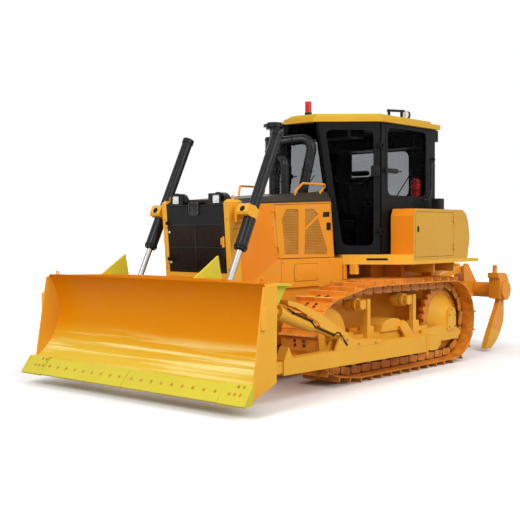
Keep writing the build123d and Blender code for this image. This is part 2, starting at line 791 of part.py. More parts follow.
with BuildPart() as cab_roof:
    plan_shape([(-228, -345), (228, -345), (eave_x, 190), (eave_x, 1540), (-floor_x, 1540), (-floor_x, 190)],
               (roof_under, roof_z + 25))
    plan_shape([(-190, -260), (190, -260), (crown_x, 240), (crown_x, 1450), (-crown_x, 1450),
                (-crown_x, 240)],
               (roof_z + 25, roof_top_z + 15))
save(cab_roof, "cab_roof")

with BuildPart() as cab_glass:
    for side in (-1, 1):
        block(place((cab_half_width - 20, cab_half_width - 14), side), (320, 1300), (2115, roof_under))
    block((-wall_x, wall_x), (cab_rear_y - 24, cab_rear_y - 18), (2150, roof_under - 60))
    slope = (cab_front_y + 150) / (roof_under - cab_floor_z)
    with BuildSketch(Plane(origin=(0, -150 + (2061 - cab_floor_z) * slope, 2061), x_dir=(1, 0, 0),
                           z_dir=(0, -1, slope))):
        with BuildLine():
            Polyline((-315, -1), (315, -1), (225, 974), (-225, 974), close=True)
        make_face()
    extrude(amount=-6)
    add(cab_frame.part, mode=Mode.SUBTRACT)
save(cab_glass, "cab_glass")

with BuildPart() as cab_seat:
    block((-260, 260), (500, 1000), (cab_floor_z + 25, 1850))
    block((-260, 260), (900, 1020), (1850, 2500))
    block((-300, 300), (60, 200), (cab_floor_z + 25, 2120))
    pair_block((300, 420), (450, 1000), (cab_floor_z + 25, 2080))
save(cab_seat, "cab_seat")


def door_plane(side, low):
    """The plane of a cab door, with its run measured from the middle post."""
    outward = Vector(-side * door_way.Y, door_way.X, 0)
    return Plane(origin=(side * cab_half_width, cab_bend_y, low),
                 x_dir=(side * door_way.X, door_way.Y, 0), z_dir=outward)


door_low_run = hypot(a_low[0] - cab_half_width, a_low[1] - cab_bend_y)
door_shape = [(14, 8), (door_low_run - 8, 8), (door_length - 12, roof_under - platform_z - 8),
              (14, roof_under - platform_z - 8)]
pane_shape = [(75, 90), (door_low_run - 62, 90), (door_length - 78, roof_under - platform_z - 80),
              (75, roof_under - platform_z - 80)]


def door_solid(side, shape, near, far, mode=Mode.ADD):
    """Extrudes an outline on the door's plane between two depths."""
    plane = door_plane(side, platform_z)
    sign = 1 if plane.y_dir.Z > 0 else -1
    with BuildSketch(plane.offset(near)) as outline:
        with BuildLine():
            Polyline(*[(run, rise * sign) for run, rise in shape], close=True)
        make_face()
    extrude(outline.sketch, amount=far - near, mode=mode)


with BuildPart() as cab_door_left:
    door_solid(1, door_shape, 2, 32)
    door_solid(1, pane_shape, 0, 34, mode=Mode.SUBTRACT)
    for z in (1700, 2750):
        cab_hinge(1, z, False)
save(cab_door_left, "cab_door_left")

with BuildPart() as cab_door_right:
    door_solid(-1, door_shape, 2, 32)
    door_solid(-1, pane_shape, 0, 34, mode=Mode.SUBTRACT)
    for z in (1700, 2750):
        cab_hinge(-1, z, False)
save(cab_door_right, "cab_door_right")

with BuildPart() as door_glass_left:
    door_solid(1, pane_shape, 12, 18)
save(door_glass_left, "door_glass_left")

with BuildPart() as door_glass_right:
    door_solid(-1, pane_shape, 12, 18)
save(door_glass_right, "door_glass_right")

with BuildPart() as roof_lamps:
    upright(0, -160, (roof_top_z + 15, roof_top_z + 55), 45)
    upright(0, -160, (roof_top_z + 55, roof_top_z + 190), 40)
    for side in (-1, 1):
        block(place((680, 720), side), (1000, 1040), (roof_top_z + 15, roof_top_z + 60))
        with Locations(Plane(origin=(side * 700, 985, roof_top_z + 70), z_dir=(0, -1, 0))):
            Cylinder(55, 50)
save(roof_lamps, "roof_lamps")


# Blade with cutting edge, push arms, tilt cylinder and brace

tilt_head = (-2600, 970)
tilt_foot = (-1430, 590)
lift_pin_radius = 26

with BuildPart() as blade:
    with BuildSketch(Plane.YZ.offset(-blade_half)):
        with BuildLine():
            front = ThreePointArc((-3060, 305), (-2752, 800), (-2900, blade_top_z + 30))
            Polyline((-2900, blade_top_z + 30), (-2745, blade_top_z + 30), (-2722, 1010),
                     (-2722, 400), (-2745, 294), (-3040, 170), (-3075, 195), (-3060, 305))
        make_face()
    extrude(amount=2 * blade_half)
    ear = [(-2916, 1195), (-2733, 1209), (-2745, 294), (-3060, 160), (-3072, 190),
           (-3058, 330), (-2949, 1016)]
    pair_shape(ear, (blade_half, blade_half + 20))
    front_shape([(-1620, 1215), (-680, 1246), (-340, 1252), (340, 1252), (850, 1246), (1620, 1215)],
                (-2895, -2750))
    for side in (-1, 1):
        side_shape([(-2895, 1240), (-2543, 1461), (-2491, 1202), (-2750, 1202)],
                   place((deflector_x - 10, deflector_x + 10), side))
        for x in (lift_x - 74, lift_x + 50):
            side_shape([(-2722, 600), (-2560, 640), (-2490, 700), (-2490, 810), (-2560, 860),
                        (-2722, 920)], place((x, x + 24), side))
        for x in (lift_x - 84, lift_x + 74):
            disc(place((x, x + 10), side), eye_y, eye_z, lift_pin_radius)
        for x in (arm_x - 74, arm_x + 50):
            side_shape([(-2722, 1200), (-2345, 1186), (-2480, 1010), (-2600, 880), (-2722, 860)],
                       place((x, x + 24), side))
        side_shape([(-2722, 1212), (-2340, 1196), (-2350, 1178), (-2722, 1190)],
                   place((arm_x - 74, arm_x + 130), side))
        disc(place((arm_x - 60, arm_x + 60), side), tilt_head[0], tilt_head[1], 30)
save(blade, "blade")

with BuildPart() as cutting_edge:
    edge = [(blade_tip_y, 141), (blade_tip_y + 12, 128), (-3060, 180), (-3050, 290),
            (-3094, 300)]
    side_shape(edge, (-1345, -3))
    side_shape(edge, (3, 1345))
    bit = [(blade_tip_y, 136), (blade_tip_y + 14, 120), (-3060, 176), (-3050, 304),
           (-3098, 318)]
    pair_shape(bit, (1349, blade_half + 20))
    tip = [(blade_tip_y, 136), (blade_tip_y + 14, 120), (-3110, 140), (-3100, 300), (-3115, 312)]
    pair_shape(tip, (blade_half + 20, blade_width / 2))
    add(blade.part, mode=Mode.SUBTRACT)
save(cutting_edge, "cutting_edge")

with BuildPart() as push_arms:
    arm = [(arm_front_y, 295), (262, 273), (262, 470), (arm_front_y, 450)]
    pair_shape(arm, (arm_x - arm_width / 2, arm_x + arm_width / 2))
    pair_block((arm_x - 72, arm_x + 72), (262, 284), (240, 484))
    pair_shape([(284, 290), (pivot_y - 60, 275), (pivot_y + 60, 275), (pivot_y + 95, 330),
                (pivot_y + 95, 400), (pivot_y + 60, 445), (284, 450)], (arm_x - 60, arm_x + 50))
    pair_disc((arm_x - 61, arm_x - 9.95), pivot_y, pivot_z, 75 + pin_play, mode=Mode.SUBTRACT)
    knuckle = [(-2722, 300), (arm_front_y, 320), (arm_front_y, 430), (-2722, 440)]
    pair_shape(knuckle, (arm_x - 45, arm_x + 45))
    pair_shape([(-2370, 451), (-2240, 452), (-2305, 570)], (arm_x - 60, arm_x + 55))
    for x in (arm_x - 62, arm_x + 38):
        pair_shape([(-1543, 457), (-1180, 460), (-700, 466), (-700, 510), (-1230, 545),
                    (-1380, 655), (-1440, 655)], (x, x + 24))
save(push_arms, "push_arms")

with BuildPart() as tilt_cylinder:
    span = hypot(tilt_foot[0] - tilt_head[0], tilt_foot[1] - tilt_head[1])
    uy, uz = (tilt_foot[0] - tilt_head[0]) / span, (tilt_foot[1] - tilt_head[1]) / span

    def reach(run):
        """A point on the tilt cylinder's axis, measured from the blade."""
        return (tilt_head[0] + uy * run, tilt_head[1] + uz * run)

    for side in (-1, 1):
        x = side * arm_x
        disc((x - 38, x + 38), tilt_foot[0], tilt_foot[1], 42)
        bar((x, *reach(span - 30)), (x, *reach(60)), 36)
        bar((x, *reach(40)), (x, *reach(100)), 44)
        disc((x - 50, x + 50), tilt_head[0], tilt_head[1], 58)
        disc((x - 51, x + 51), tilt_head[0], tilt_head[1], 30, mode=Mode.SUBTRACT)
    bar((arm_x, *reach(180)), (arm_x, *reach(220)), 76)
    bar((arm_x, *reach(220)), (arm_x, *reach(730)), 68)
    bar((arm_x, *reach(730)), (arm_x, *reach(770)), 60)
    side_shape([(-2330, 1030), (-2200, 1004), (-2055, 958), (-1767, 846), (-1450, 672),
                (-1470, 655), (-1790, 820), (-2080, 925), (-2210, 972), (-2330, 1000)],
               (arm_x - 70, arm_x + 64))
    side_shape([(-2335, 1030), (-2205, 1005), (-2055, 958), (-1767, 846), (-1430, 662),
                (-1494, 612), (-1808, 722), (-1847, 782), (-2106, 902), (-2205, 950), (-2335, 985)],
               (arm_x + 64, arm_x + 72))
    side_shape([(-1500, 690), (-1560, 700), (-1560, 560), (-1500, 560)],
               (arm_x - 70, arm_x - 62))
    block((arm_x - 8, arm_x + 8), (-2000, -1960), (reach(620)[1], 895))
save(tilt_cylinder, "tilt_cylinder")


# Lift cylinders: a swinging yoke with the barrel, and the rod

lift_span = hypot(eye_y - swing_y, eye_z - swing_z)
lift_uy, lift_uz = (eye_y - swing_y) / lift_span, (eye_z - swing_z) / lift_span


def on_lift(side, run):
    """A point on a lift cylinder's axis, measured down from its swing pin."""
    return (side * lift_x, swing_y + lift_uy * run, swing_z + lift_uz * run)


def lift_barrel(side):
    """Barrel with a lower sleeve and the block that swings on the radiator guard."""
    bar(on_lift(side, -barrel_top), on_lift(side, gland_reach), barrel_radius)
    bar(on_lift(side, 60), on_lift(side, gland_reach), sleeve_radius)
    bar(on_lift(side, -barrel_top), on_lift(side, -barrel_top + 50), sleeve_radius)
    across = place((lift_x - 100, lift_x + 60), side)
    block_front, block_rear = -130, 40
    here = on_lift(side, 0)
    with BuildSketch(Plane(origin=(across[0], here[1], here[2]), x_dir=(0, -lift_uz, lift_uy),
                           z_dir=(1, 0, 0))) as outline:
        with BuildLine():
            Polyline((block_rear, -66), (block_rear, 48), (-block_rear, 66), (block_front + 22, 66),
                     (block_front, 44), (block_front, -44), (block_front + 22, -66), close=True)
        make_face()
    extrude(outline.sketch, amount=across[1] - across[0])
    bar(on_lift(side, -barrel_top + 50), on_lift(side, gland_reach - 60), 50, mode=Mode.SUBTRACT)
    bar(on_lift(side, gland_reach - 61), on_lift(side, gland_reach + 1), lift_rod_radius + 0.5,
        mode=Mode.SUBTRACT)
    disc(place((lift_x - 101, lift_x - 69.95), side), swing_y, swing_z, swing_pin_radius + pin_play,
         mode=Mode.SUBTRACT)


with BuildPart() as lift_barrel_left:
    lift_barrel(1)
save(lift_barrel_left, "lift_barrel_left")

with BuildPart() as lift_barrel_right:
    lift_barrel(-1)
save(lift_barrel_right, "lift_barrel_right")


def lift_rod(side):
    """Rod with its eye and the eye's own pin."""
    bar(on_lift(side, gland_reach - 620), on_lift(side, lift_span - 20), lift_rod_radius)
    disc((side * lift_x - 49.7, side * lift_x + 49.7), eye_y, eye_z, 58)


with BuildPart() as lift_rod_left:
    lift_rod(1)
save(lift_rod_left, "lift_rod_left")

with BuildPart() as lift_rod_right:
    lift_rod(-1)
save(lift_rod_right, "lift_rod_right")


# Ripper: lower frame, upper links, beam with shanks, lift cylinders

beam_lower_y, beam_lower_z = lower_pin_y + link_run, lower_pin_z + link_rise
beam_upper_y, beam_upper_z = upper_pin_y + link_run, upper_pin_z + link_rise

with BuildPart() as ripper_frame:
    arm = [(lower_pin_y, lower_pin_z - 60), (beam_lower_y, beam_lower_z - 60),
           (beam_lower_y, beam_lower_z + 60), (lower_pin_y, lower_pin_z + 60)]
    arm_range = (ripper_arm_x - 55.7, ripper_arm_x + 55.7)
    for side in (-1, 1):
        side_shape(arm, place((ripper_arm_x - 45, ripper_arm_x + 45), side))
        for y, z in ((lower_pin_y, lower_pin_z), (beam_lower_y, beam_lower_z)):
            disc(place(arm_range, side), y, z, 60)
            disc(place((ripper_arm_x - 56, ripper_arm_x + 56), side), y, z,
                 ripper_pin_radius + pin_play, mode=Mode.SUBTRACT)
        for x in (ripper_cyl_x - 60, ripper_cyl_x + 40):
            side_shape([(2380, 650), (2680, 710), (2620, 790), (2500, 790), (2380, 720)],
                       place((x, x + 20), side))
        for x in (ripper_cyl_x - 68, ripper_cyl_x + 60):
            disc(place((x, x + 8), side), ripper_eye_y, ripper_eye_z, link_pin_radius)
    block((-ripper_arm_x + 45, ripper_arm_x - 45), (2330, 2600), (640, 688))
save(ripper_frame, "ripper_frame")

with BuildPart() as ripper_links:
    link = [(upper_pin_y, upper_pin_z - 42), (beam_upper_y, beam_upper_z - 42),
            (beam_upper_y, beam_upper_z + 42), (upper_pin_y, upper_pin_z + 42)]
    for side in (-1, 1):
        side_shape(link, place((ripper_arm_x - 35, ripper_arm_x + 35), side))
        for y, z in ((upper_pin_y, upper_pin_z), (beam_upper_y, beam_upper_z)):
            disc(place(arm_range, side), y, z, 44)
            disc(place((ripper_arm_x - 56, ripper_arm_x + 56), side), y, z,
                 link_pin_radius + pin_play, mode=Mode.SUBTRACT)
save(ripper_links, "ripper_links")

pocket_top_z = beam_z + 255

with BuildPart() as ripper_beam:
    disc((-beam_half, beam_half), beam_y, beam_z, beam_radius - 20)
    pair_disc((beam_half - 210, beam_half), beam_y, beam_z, beam_radius)
    bracket = [(beam_y, beam_z - 90), (beam_lower_y - 70, beam_lower_z - 60),
               (beam_upper_y - 70, beam_upper_z - 30), (beam_upper_y - 40, beam_upper_z + 75),
               (beam_upper_y + 60, beam_upper_z + 75), (beam_y + 20, beam_z + 105)]
    for x in (ripper_arm_x - 85, ripper_arm_x + 60):
        pair_shape(bracket, (x, x + 25))
    pair_disc((ripper_arm_x - 61, ripper_arm_x + 61), beam_lower_y, beam_lower_z, ripper_pin_radius)
    pair_disc((ripper_arm_x - 61, ripper_arm_x + 61), beam_upper_y, beam_upper_z, link_pin_radius)
    housing = [(beam_y - 150, beam_z - 115), (ripper_rear_y - 40, beam_z - 150),
               (ripper_rear_y, beam_z - 120), (ripper_rear_y, beam_z + 150),
               (ripper_rear_y - 60, pocket_top_z - 20), (beam_y - 20, pocket_top_z),
               (beam_y - 190, pocket_top_z), (beam_y - 190, pocket_top_z - 70),
               (beam_y - 150, pocket_top_z - 80)]
    for x in shank_places:
        side_shape(housing, (x - 85, x + 85))
        block((x - 35, x + 35), (beam_y - 60, beam_y + 82), (beam_z - 151, pocket_top_z - 60),
              mode=Mode.SUBTRACT)
        block((x - 20, x + 20), (beam_y - 170, beam_y - 100), (pocket_top_z - 10, pocket_top_z + 80))
        disc((x - 20, x + 20), beam_y - 135, pocket_top_z + 80, 35)
        disc((x - 21, x + 21), beam_y - 135, pocket_top_z + 80, 22, mode=Mode.SUBTRACT)
save(ripper_beam, "ripper_beam")

with BuildPart() as ripper_shanks:
    shank = [(beam_y - 60, pocket_top_z - 60), (beam_y - 60, 700), (beam_y - 150, 560),
             (2870, 440), (2793, 319), (2640, 55), (2665, 44), (2793, 40), (2965, 140), (3068, 240),
             (3150, 350), (3190, 480), (beam_y + 82, 700), (beam_y + 82, pocket_top_z - 60)]
    for x in shank_places:
        side_shape(shank, (x - 35, x + 35))
save(ripper_shanks, "ripper_shanks")

rip_span = hypot(ripper_eye_y - ripper_head_y, ripper_eye_z - ripper_head_z)
rip_uy, rip_uz = (ripper_eye_y - ripper_head_y) / rip_span, (ripper_eye_z - ripper_head_z) / rip_span


def on_rip(side, run):
    """A point on a ripper cylinder's axis, measured from its head pin."""
    return (side * ripper_cyl_x, ripper_head_y + rip_uy * run, ripper_head_z + rip_uz * run)


with BuildPart() as ripper_barrels:
    for side in (-1, 1):
        disc(place((ripper_cyl_x - 55.7, ripper_cyl_x + 55.7), side), ripper_head_y, ripper_head_z, 48)
        bar(on_rip(side, 20), on_rip(side, 80), 40)
        disc(place((ripper_cyl_x - 56, ripper_cyl_x + 56), side), ripper_head_y, ripper_head_z,
             link_pin_radius + pin_play, mode=Mode.SUBTRACT)
        bar(on_rip(side, 75), on_rip(side, 560), 52)
        bar(on_rip(side, 95), on_rip(side, 520), 42, mode=Mode.SUBTRACT)
        bar(on_rip(side, 519), on_rip(side, 561), 30.5, mode=Mode.SUBTRACT)
save(ripper_barrels, "ripper_barrels")

with BuildPart() as ripper_rods:
    for side in (-1, 1):
        bar(on_rip(side, 250), on_rip(side, rip_span - 20), 30)
        disc(place((ripper_cyl_x - 39.7, ripper_cyl_x + 39.7), side), ripper_eye_y, ripper_eye_z, 44)
save(ripper_rods, "ripper_rods")
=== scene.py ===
import math

import bmesh
import bpy
import numpy as np
from mathutils import Matrix, Vector


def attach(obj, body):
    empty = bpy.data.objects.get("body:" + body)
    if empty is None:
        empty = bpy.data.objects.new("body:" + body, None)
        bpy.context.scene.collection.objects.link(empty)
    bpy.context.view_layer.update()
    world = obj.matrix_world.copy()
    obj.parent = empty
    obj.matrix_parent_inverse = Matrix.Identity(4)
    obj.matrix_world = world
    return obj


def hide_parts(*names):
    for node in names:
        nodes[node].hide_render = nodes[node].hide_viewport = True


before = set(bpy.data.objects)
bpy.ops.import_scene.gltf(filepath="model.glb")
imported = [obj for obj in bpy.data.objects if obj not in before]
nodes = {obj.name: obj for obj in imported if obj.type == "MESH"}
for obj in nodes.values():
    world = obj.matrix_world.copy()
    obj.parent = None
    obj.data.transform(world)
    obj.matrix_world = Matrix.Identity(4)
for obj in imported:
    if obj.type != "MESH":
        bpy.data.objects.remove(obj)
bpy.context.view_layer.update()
scene = bpy.context.scene
print("frame loaded:", len(nodes), "nodes")

# Camera at the photograph's viewing angle

cameraSetup = {
    "place": (7.390, -9.522, 1.713),   # metres
    "turn": 41.074,                    # degrees round the machine
    "tip": 1.085,                      # degrees downwards
    "roll": -0.131,
    "lens": 65.94,
    "shift": (-0.00407, -0.02153),
}


def makeCamera():
    # the axes from the turn and the tip, then rolled about the line of sight
    turn, tip = math.radians(cameraSetup["turn"]), math.radians(cameraSetup["tip"])
    back = Vector((math.sin(turn) * math.cos(tip), -math.cos(turn) * math.cos(tip), math.sin(tip)))
    right = Vector((math.cos(turn), math.sin(turn), 0))
    up = back.cross(right)
    roll = math.radians(cameraSetup["roll"])
    level = right * math.cos(roll) + up * math.sin(roll)
    upright = up * math.cos(roll) - right * math.sin(roll)
    data = bpy.data.cameras.new("camera")
    data.lens, data.sensor_width = cameraSetup["lens"], 36
    data.shift_x, data.shift_y = cameraSetup["shift"]
    data.clip_end = 200
    camera = bpy.data.objects.new("camera", data)
    axes = Matrix((level, upright, back)).transposed().to_4x4()
    camera.matrix_world = Matrix.Translation(cameraSetup["place"]) @ axes
    scene.collection.objects.link(camera)
    scene.camera = camera


makeCamera()

# Materials


def newMaterial(name):
    material = bpy.data.materials.new(name)
    material.use_nodes = True
    return material, material.node_tree, material.node_tree.nodes["Principled BSDF"]


def addNode(tree, kind, **values):
    made = tree.nodes.new(kind)
    for name, value in values.items():
        if name.startswith("in"):
            made.inputs[int(name[2:])].default_value = value
        else:
            setattr(made, name, value)
    return made


def objectPlace(tree, stretch=(1, 1, 1)):
    # the place on the piece, in metres, each axis times its stretch
    place = addNode(tree, "ShaderNodeTexCoord")
    mapping = addNode(tree, "ShaderNodeMapping")
    mapping.inputs["Scale"].default_value = stretch
    tree.links.new(place.outputs["Object"], mapping.inputs["Vector"])
    return mapping.outputs["Vector"]


def noise(tree, scale, detail=4.0, stretch=(1, 1, 1)):
    # noise on object coordinates, stretched along an axis if wanted
    made = addNode(tree, "ShaderNodeTexNoise")
    made.inputs["Scale"].default_value = scale
    made.inputs["Detail"].default_value = detail
    tree.links.new(objectPlace(tree, stretch), made.inputs["Vector"])
    return made.outputs["Fac"]


def ramp(tree, source, stops):
    made = addNode(tree, "ShaderNodeValToRGB")
    band = made.color_ramp
    while len(band.elements) < len(stops):
        band.elements.new(0.5)
    for element, (place, colour) in zip(band.elements, stops):
        element.position = place
        element.color = (*colour, 1)
    tree.links.new(source, made.inputs["Fac"])
    return made.outputs["Color"]


def mixColour(tree, share, a, b, kind="MIX"):
    made = addNode(tree, "ShaderNodeMix", data_type="RGBA", blend_type=kind)
    for socket, value in ((0, share), (6, a), (7, b)):
        if isinstance(value, bpy.types.NodeSocket):
            tree.links.new(value, made.inputs[socket])
        else:
            made.inputs[socket].default_value = value if socket == 0 else (*value, 1)
    return made.outputs[2]


def calculate(tree, kind, a, b=0.0):
    # one sum on two sockets or numbers
    made = addNode(tree, "ShaderNodeMath", operation=kind)
    for socket, value in ((0, a), (1, b)):
        if isinstance(value, bpy.types.NodeSocket):
            tree.links.new(value, made.inputs[socket])
        else:
            made.inputs[socket].default_value = value
    return made.outputs[0]


def addBump(tree, shader, source, strength, depth):
    bump = addNode(tree, "ShaderNodeBump")
    bump.inputs["Strength"].default_value = strength
    bump.inputs["Distance"].default_value = depth
    tree.links.new(source, bump.inputs["Height"])
    tree.links.new(bump.outputs["Normal"], shader.inputs["Normal"])


def grey(value):
    return (value, value, value)


paintSetup = {
    "body": (0.84, 0.325, 0.022),      # warm yellow of the panels
    "bodyShade": (0.80, 0.285, 0.018),
    "bright": (0.84, 0.42, 0.036),     # arms, guards and outer faces
    "brightShade": (0.80, 0.365, 0.028),
    "lemon": (0.66, 0.555, 0.042),     # cutting edge, ears, gussets
    "lemonShade": (0.60, 0.50, 0.036),
    "dust": (0.62, 0.36, 0.13),
    "roughness": 0.36,
    "coat": 0.03,
    "gloss": 0.12,
}


def finishPaint(tree, shader, colour, dustShare, roughness):
    # dust in patches over the colour, uneven gloss and a light orange peel
    dust = ramp(tree, noise(tree, 5, 8), [(0.55, grey(0)), (0.85, grey(dustShare))])
    tree.links.new(mixColour(tree, dust, colour, paintSetup["dust"]), shader.inputs["Base Color"])
    tree.links.new(ramp(tree, noise(tree, 7, 6), [(0.3, grey(roughness - 0.06)),
                                                  (0.75, grey(roughness + 0.16))]),
                   shader.inputs["Roughness"])
    shader.inputs["Coat Weight"].default_value = paintSetup["coat"]
    shader.inputs["Coat Roughness"].default_value = 0.2
    shader.inputs["Specular IOR Level"].default_value = paintSetup["gloss"]
    addBump(tree, shader, noise(tree, 240, 2), 0.04, 0.002)


def makePaint(name, light, shade, dustShare=0.3):
    # sprayed steel: colour = mix(light, shade, noise)
    material, tree, shader = newMaterial(name)
    patches = ramp(tree, noise(tree, 1.3, 4), [(0.35, light), (0.75, shade)])
    finishPaint(tree, shader, patches, dustShare, paintSetup["roughness"])
    return material


bladeColours = {
    "stops": [(0.0, (0.72, 0.53, 0.06)), (0.20, (0.72, 0.49, 0.045)), (0.33, (0.72, 0.36, 0.012)),
              (0.50, (0.70, 0.24, 0.002)), (1.0, (0.68, 0.19, 0.001))],
    "low": 0.16, "high": 1.25,         # metres over the ground
    # pale colour of the painted highlight bands
    "streak": (0.90, 0.78, 0.30),
    "gloss": 0.05,
}


def makeBladePaint():
    # colour from the height on the blade, with painted highlights in long wavy bands across its lower half
    material, tree, shader = newMaterial("bladePaint")
    apart = addNode(tree, "ShaderNodeSeparateXYZ")
    tree.links.new(objectPlace(tree), apart.inputs[0])
    height = apart.outputs["Z"]
    waver = calculate(tree, "MULTIPLY", noise(tree, 1.1, 3, (0.5, 1, 1)), 0.16)
    rise = calculate(tree, "SUBTRACT", calculate(tree, "ADD", height, waver),
                     bladeColours["low"] + 0.08)
    share = calculate(tree, "DIVIDE", rise, bladeColours["high"] - bladeColours["low"])
    colour = ramp(tree, share, bladeColours["stops"])
    # painted highlights: wavy level bands, kept to the lower half of the blade
    lines = ramp(tree, noise(tree, 3.0, 5, (0.13, 1, 6)), [(0.52, grey(0)), (0.64, grey(0.95))])
    lower = ramp(tree, share, [(0.10, grey(0.2)), (0.22, grey(1)), (0.36, grey(0.7)), (0.46, grey(0))])
    streaks = mixColour(tree, 1.0, lines, lower, "MULTIPLY")
    colour = mixColour(tree, streaks, colour, bladeColours["streak"])
    finishPaint(tree, shader, colour, 0.10, 0.27)
    shader.inputs["Specular IOR Level"].default_value = bladeColours["gloss"]
    shader.inputs["Coat Weight"].default_value = 0.0
    return material


def makePlain(name, colour, roughness, metal=0.0, spread=0.3, scale=9, bump=0.05, fine=180, gloss=0.3):
    # one colour with patches, worn gloss and a fine surface
    material, tree, shader = newMaterial(name)
    dark = tuple(v * (1 - spread) for v in colour)
    pale = tuple(min(1, v * (1 + spread) + 0.002) for v in colour)
    tree.links.new(ramp(tree, noise(tree, scale, 6), [(0.3, dark), (0.75, pale)]),
                   shader.inputs["Base Color"])
    tree.links.new(ramp(tree, noise(tree, scale * 2, 5), [(0.3, grey(max(0.02, roughness - 0.1))),
                                                         (0.75, grey(min(1, roughness + 0.12)))]),
                   shader.inputs["Roughness"])
    shader.inputs["Metallic"].default_value = metal
    shader.inputs["Specular IOR Level"].default_value = gloss
    addBump(tree, shader, noise(tree, fine, 3), bump, 0.002)
    return material


trackColours = {
    "paint": (0.80, 0.27, 0.012), "worn": (0.68, 0.21, 0.010),
    # brown for dirt and painted shade, and how far it covers the paint
    "dirtAndShade": (0.25, 0.085, 0.012), "dirtAndShadeShare": 0.6,
}


def makeTrackPaint():
    # painted shoes with brown patches by noise, partly dirt and partly painted shade: colour = mix(paint,
    # brown, noise)
    material, tree, shader = newMaterial("trackPaint")
    patches = ramp(tree, noise(tree, 4, 6), [(0.3, trackColours["paint"]), (0.7, trackColours["worn"])])
    dirtAndShade = ramp(tree, noise(tree, 9, 9), [(0.48, grey(0)), (0.72, grey(trackColours["dirtAndShadeShare"]))])
    tree.links.new(mixColour(tree, dirtAndShade, patches, trackColours["dirtAndShade"]), shader.inputs["Base Color"])
    tree.links.new(ramp(tree, noise(tree, 15, 5), [(0.3, grey(0.42)), (0.75, grey(0.7))]),
                   shader.inputs["Roughness"])
    addBump(tree, shader, noise(tree, 70, 4), 0.25, 0.003)
    return material


def makePerforated(name, sheet, hole, spots, pitch, way):
    # holes where sin(a) sin(b) > 0.2, a and b from the place on the sheet
    material, tree, shader = newMaterial(name)
    apart = addNode(tree, "ShaderNodeSeparateXYZ")
    tree.links.new(objectPlace(tree), apart.inputs[0])
    turn = 2 * math.pi / pitch * 0.7071   # rows of holes run at 45 degrees
    side, rise = apart.outputs[way], apart.outputs["Z"]
    falling, rising = calculate(tree, "ADD", side, rise), calculate(tree, "SUBTRACT", side, rise)
    first = calculate(tree, "SINE", calculate(tree, "MULTIPLY", falling, turn))
    second = calculate(tree, "SINE", calculate(tree, "MULTIPLY", rising, turn))
    both = calculate(tree, "MULTIPLY", first, second)
    holes = ramp(tree, both, [(0.15, grey(0)), (0.3, grey(1))])
    behind = ramp(tree, noise(tree, 3.5, 3), [(0.45, hole), (0.72, spots)])
    tree.links.new(mixColour(tree, holes, sheet, behind), shader.inputs["Base Color"])
    tree.links.new(ramp(tree, noise(tree, 20, 4), [(0.3, grey(0.42)), (0.7, grey(0.6))]),
                   shader.inputs["Roughness"])
    shader.inputs["Specular IOR Level"].default_value = 0.1
    addBump(tree, shader, calculate(tree, "SUBTRACT", 1.0, both), 0.3, 0.004)
    return material


glassTint = {"dark": (0.44, 0.45, 0.46), "pale": (0.50, 0.51, 0.52), "bend": 1.04}


def makeGlass():
    # smoked pane: light that passes is multiplied by the tint at each face
    material, tree, shader = newMaterial("glass")
    tint = ramp(tree, noise(tree, 3, 4), [(0.3, glassTint["dark"]), (0.8, glassTint["pale"])])
    tree.links.new(tint, shader.inputs["Base Color"])
    shader.inputs["Roughness"].default_value = 0.0
    shader.inputs["Transmission Weight"].default_value = 1.0
    shader.inputs["IOR"].default_value = glassTint["bend"]
    return material


paint = makePaint("yellowPaint", paintSetup["body"], paintSetup["bodyShade"])
brightPaint = makePaint("brightPaint", paintSetup["bright"], paintSetup["brightShade"])
lemonPaint = makePaint("lemonPaint", paintSetup["lemon"], paintSetup["lemonShade"], 0.15)
roofPaint = makePaint("roofPaint", (0.68, 0.37, 0.026), (0.64, 0.32, 0.022))
# painted highlight: a paler lemon copy of the roof paint for the roof's top
crownPaint = makePaint("crownPaint", (0.60, 0.43, 0.032), (0.56, 0.39, 0.028))
boxPaint = makePaint("boxPaint", (0.64, 0.34, 0.040), (0.60, 0.30, 0.034))
deepPaint = makePaint("deepPaint", (0.84, 0.26, 0.012), (0.80, 0.22, 0.010))
bladePaint = makeBladePaint()
trackPaint = makeTrackPaint()
# painted shadow: dark brown for the chain's bands, the shade between and behind the link plates; the shoe
# bolts and bushings get it too
chainShadowDark = makePlain("chainShadowDark", (0.11, 0.035, 0.008), 0.6, spread=0.5, scale=12, bump=0.3, fine=80)
linkPaint = makePlain("linkPaint", (0.66, 0.25, 0.035), 0.55, spread=0.3, scale=14, bump=0.2, fine=80)
# pale orange for the grouser tips: their wear and a painted highlight
tipWearAndHighlight = makePlain("tipWearAndHighlight", (0.84, 0.47, 0.12), 0.45, spread=0.2, scale=20, bump=0.1)
# painted shade: darker orange-brown than the paint, for the shade in and round recessed bolt heads; all bolt
# heads and pins get it
boltPaint = makePlain("boltPaint", (0.56, 0.27, 0.03), 0.5, spread=0.3, scale=30, bump=0.1)
seamDark = makePlain("seamDark", (0.055, 0.022, 0.006), 0.7, spread=0.2)
blackPaint = makePlain("blackPaint", grey(0.006), 0.3, spread=0.2, gloss=0.2)
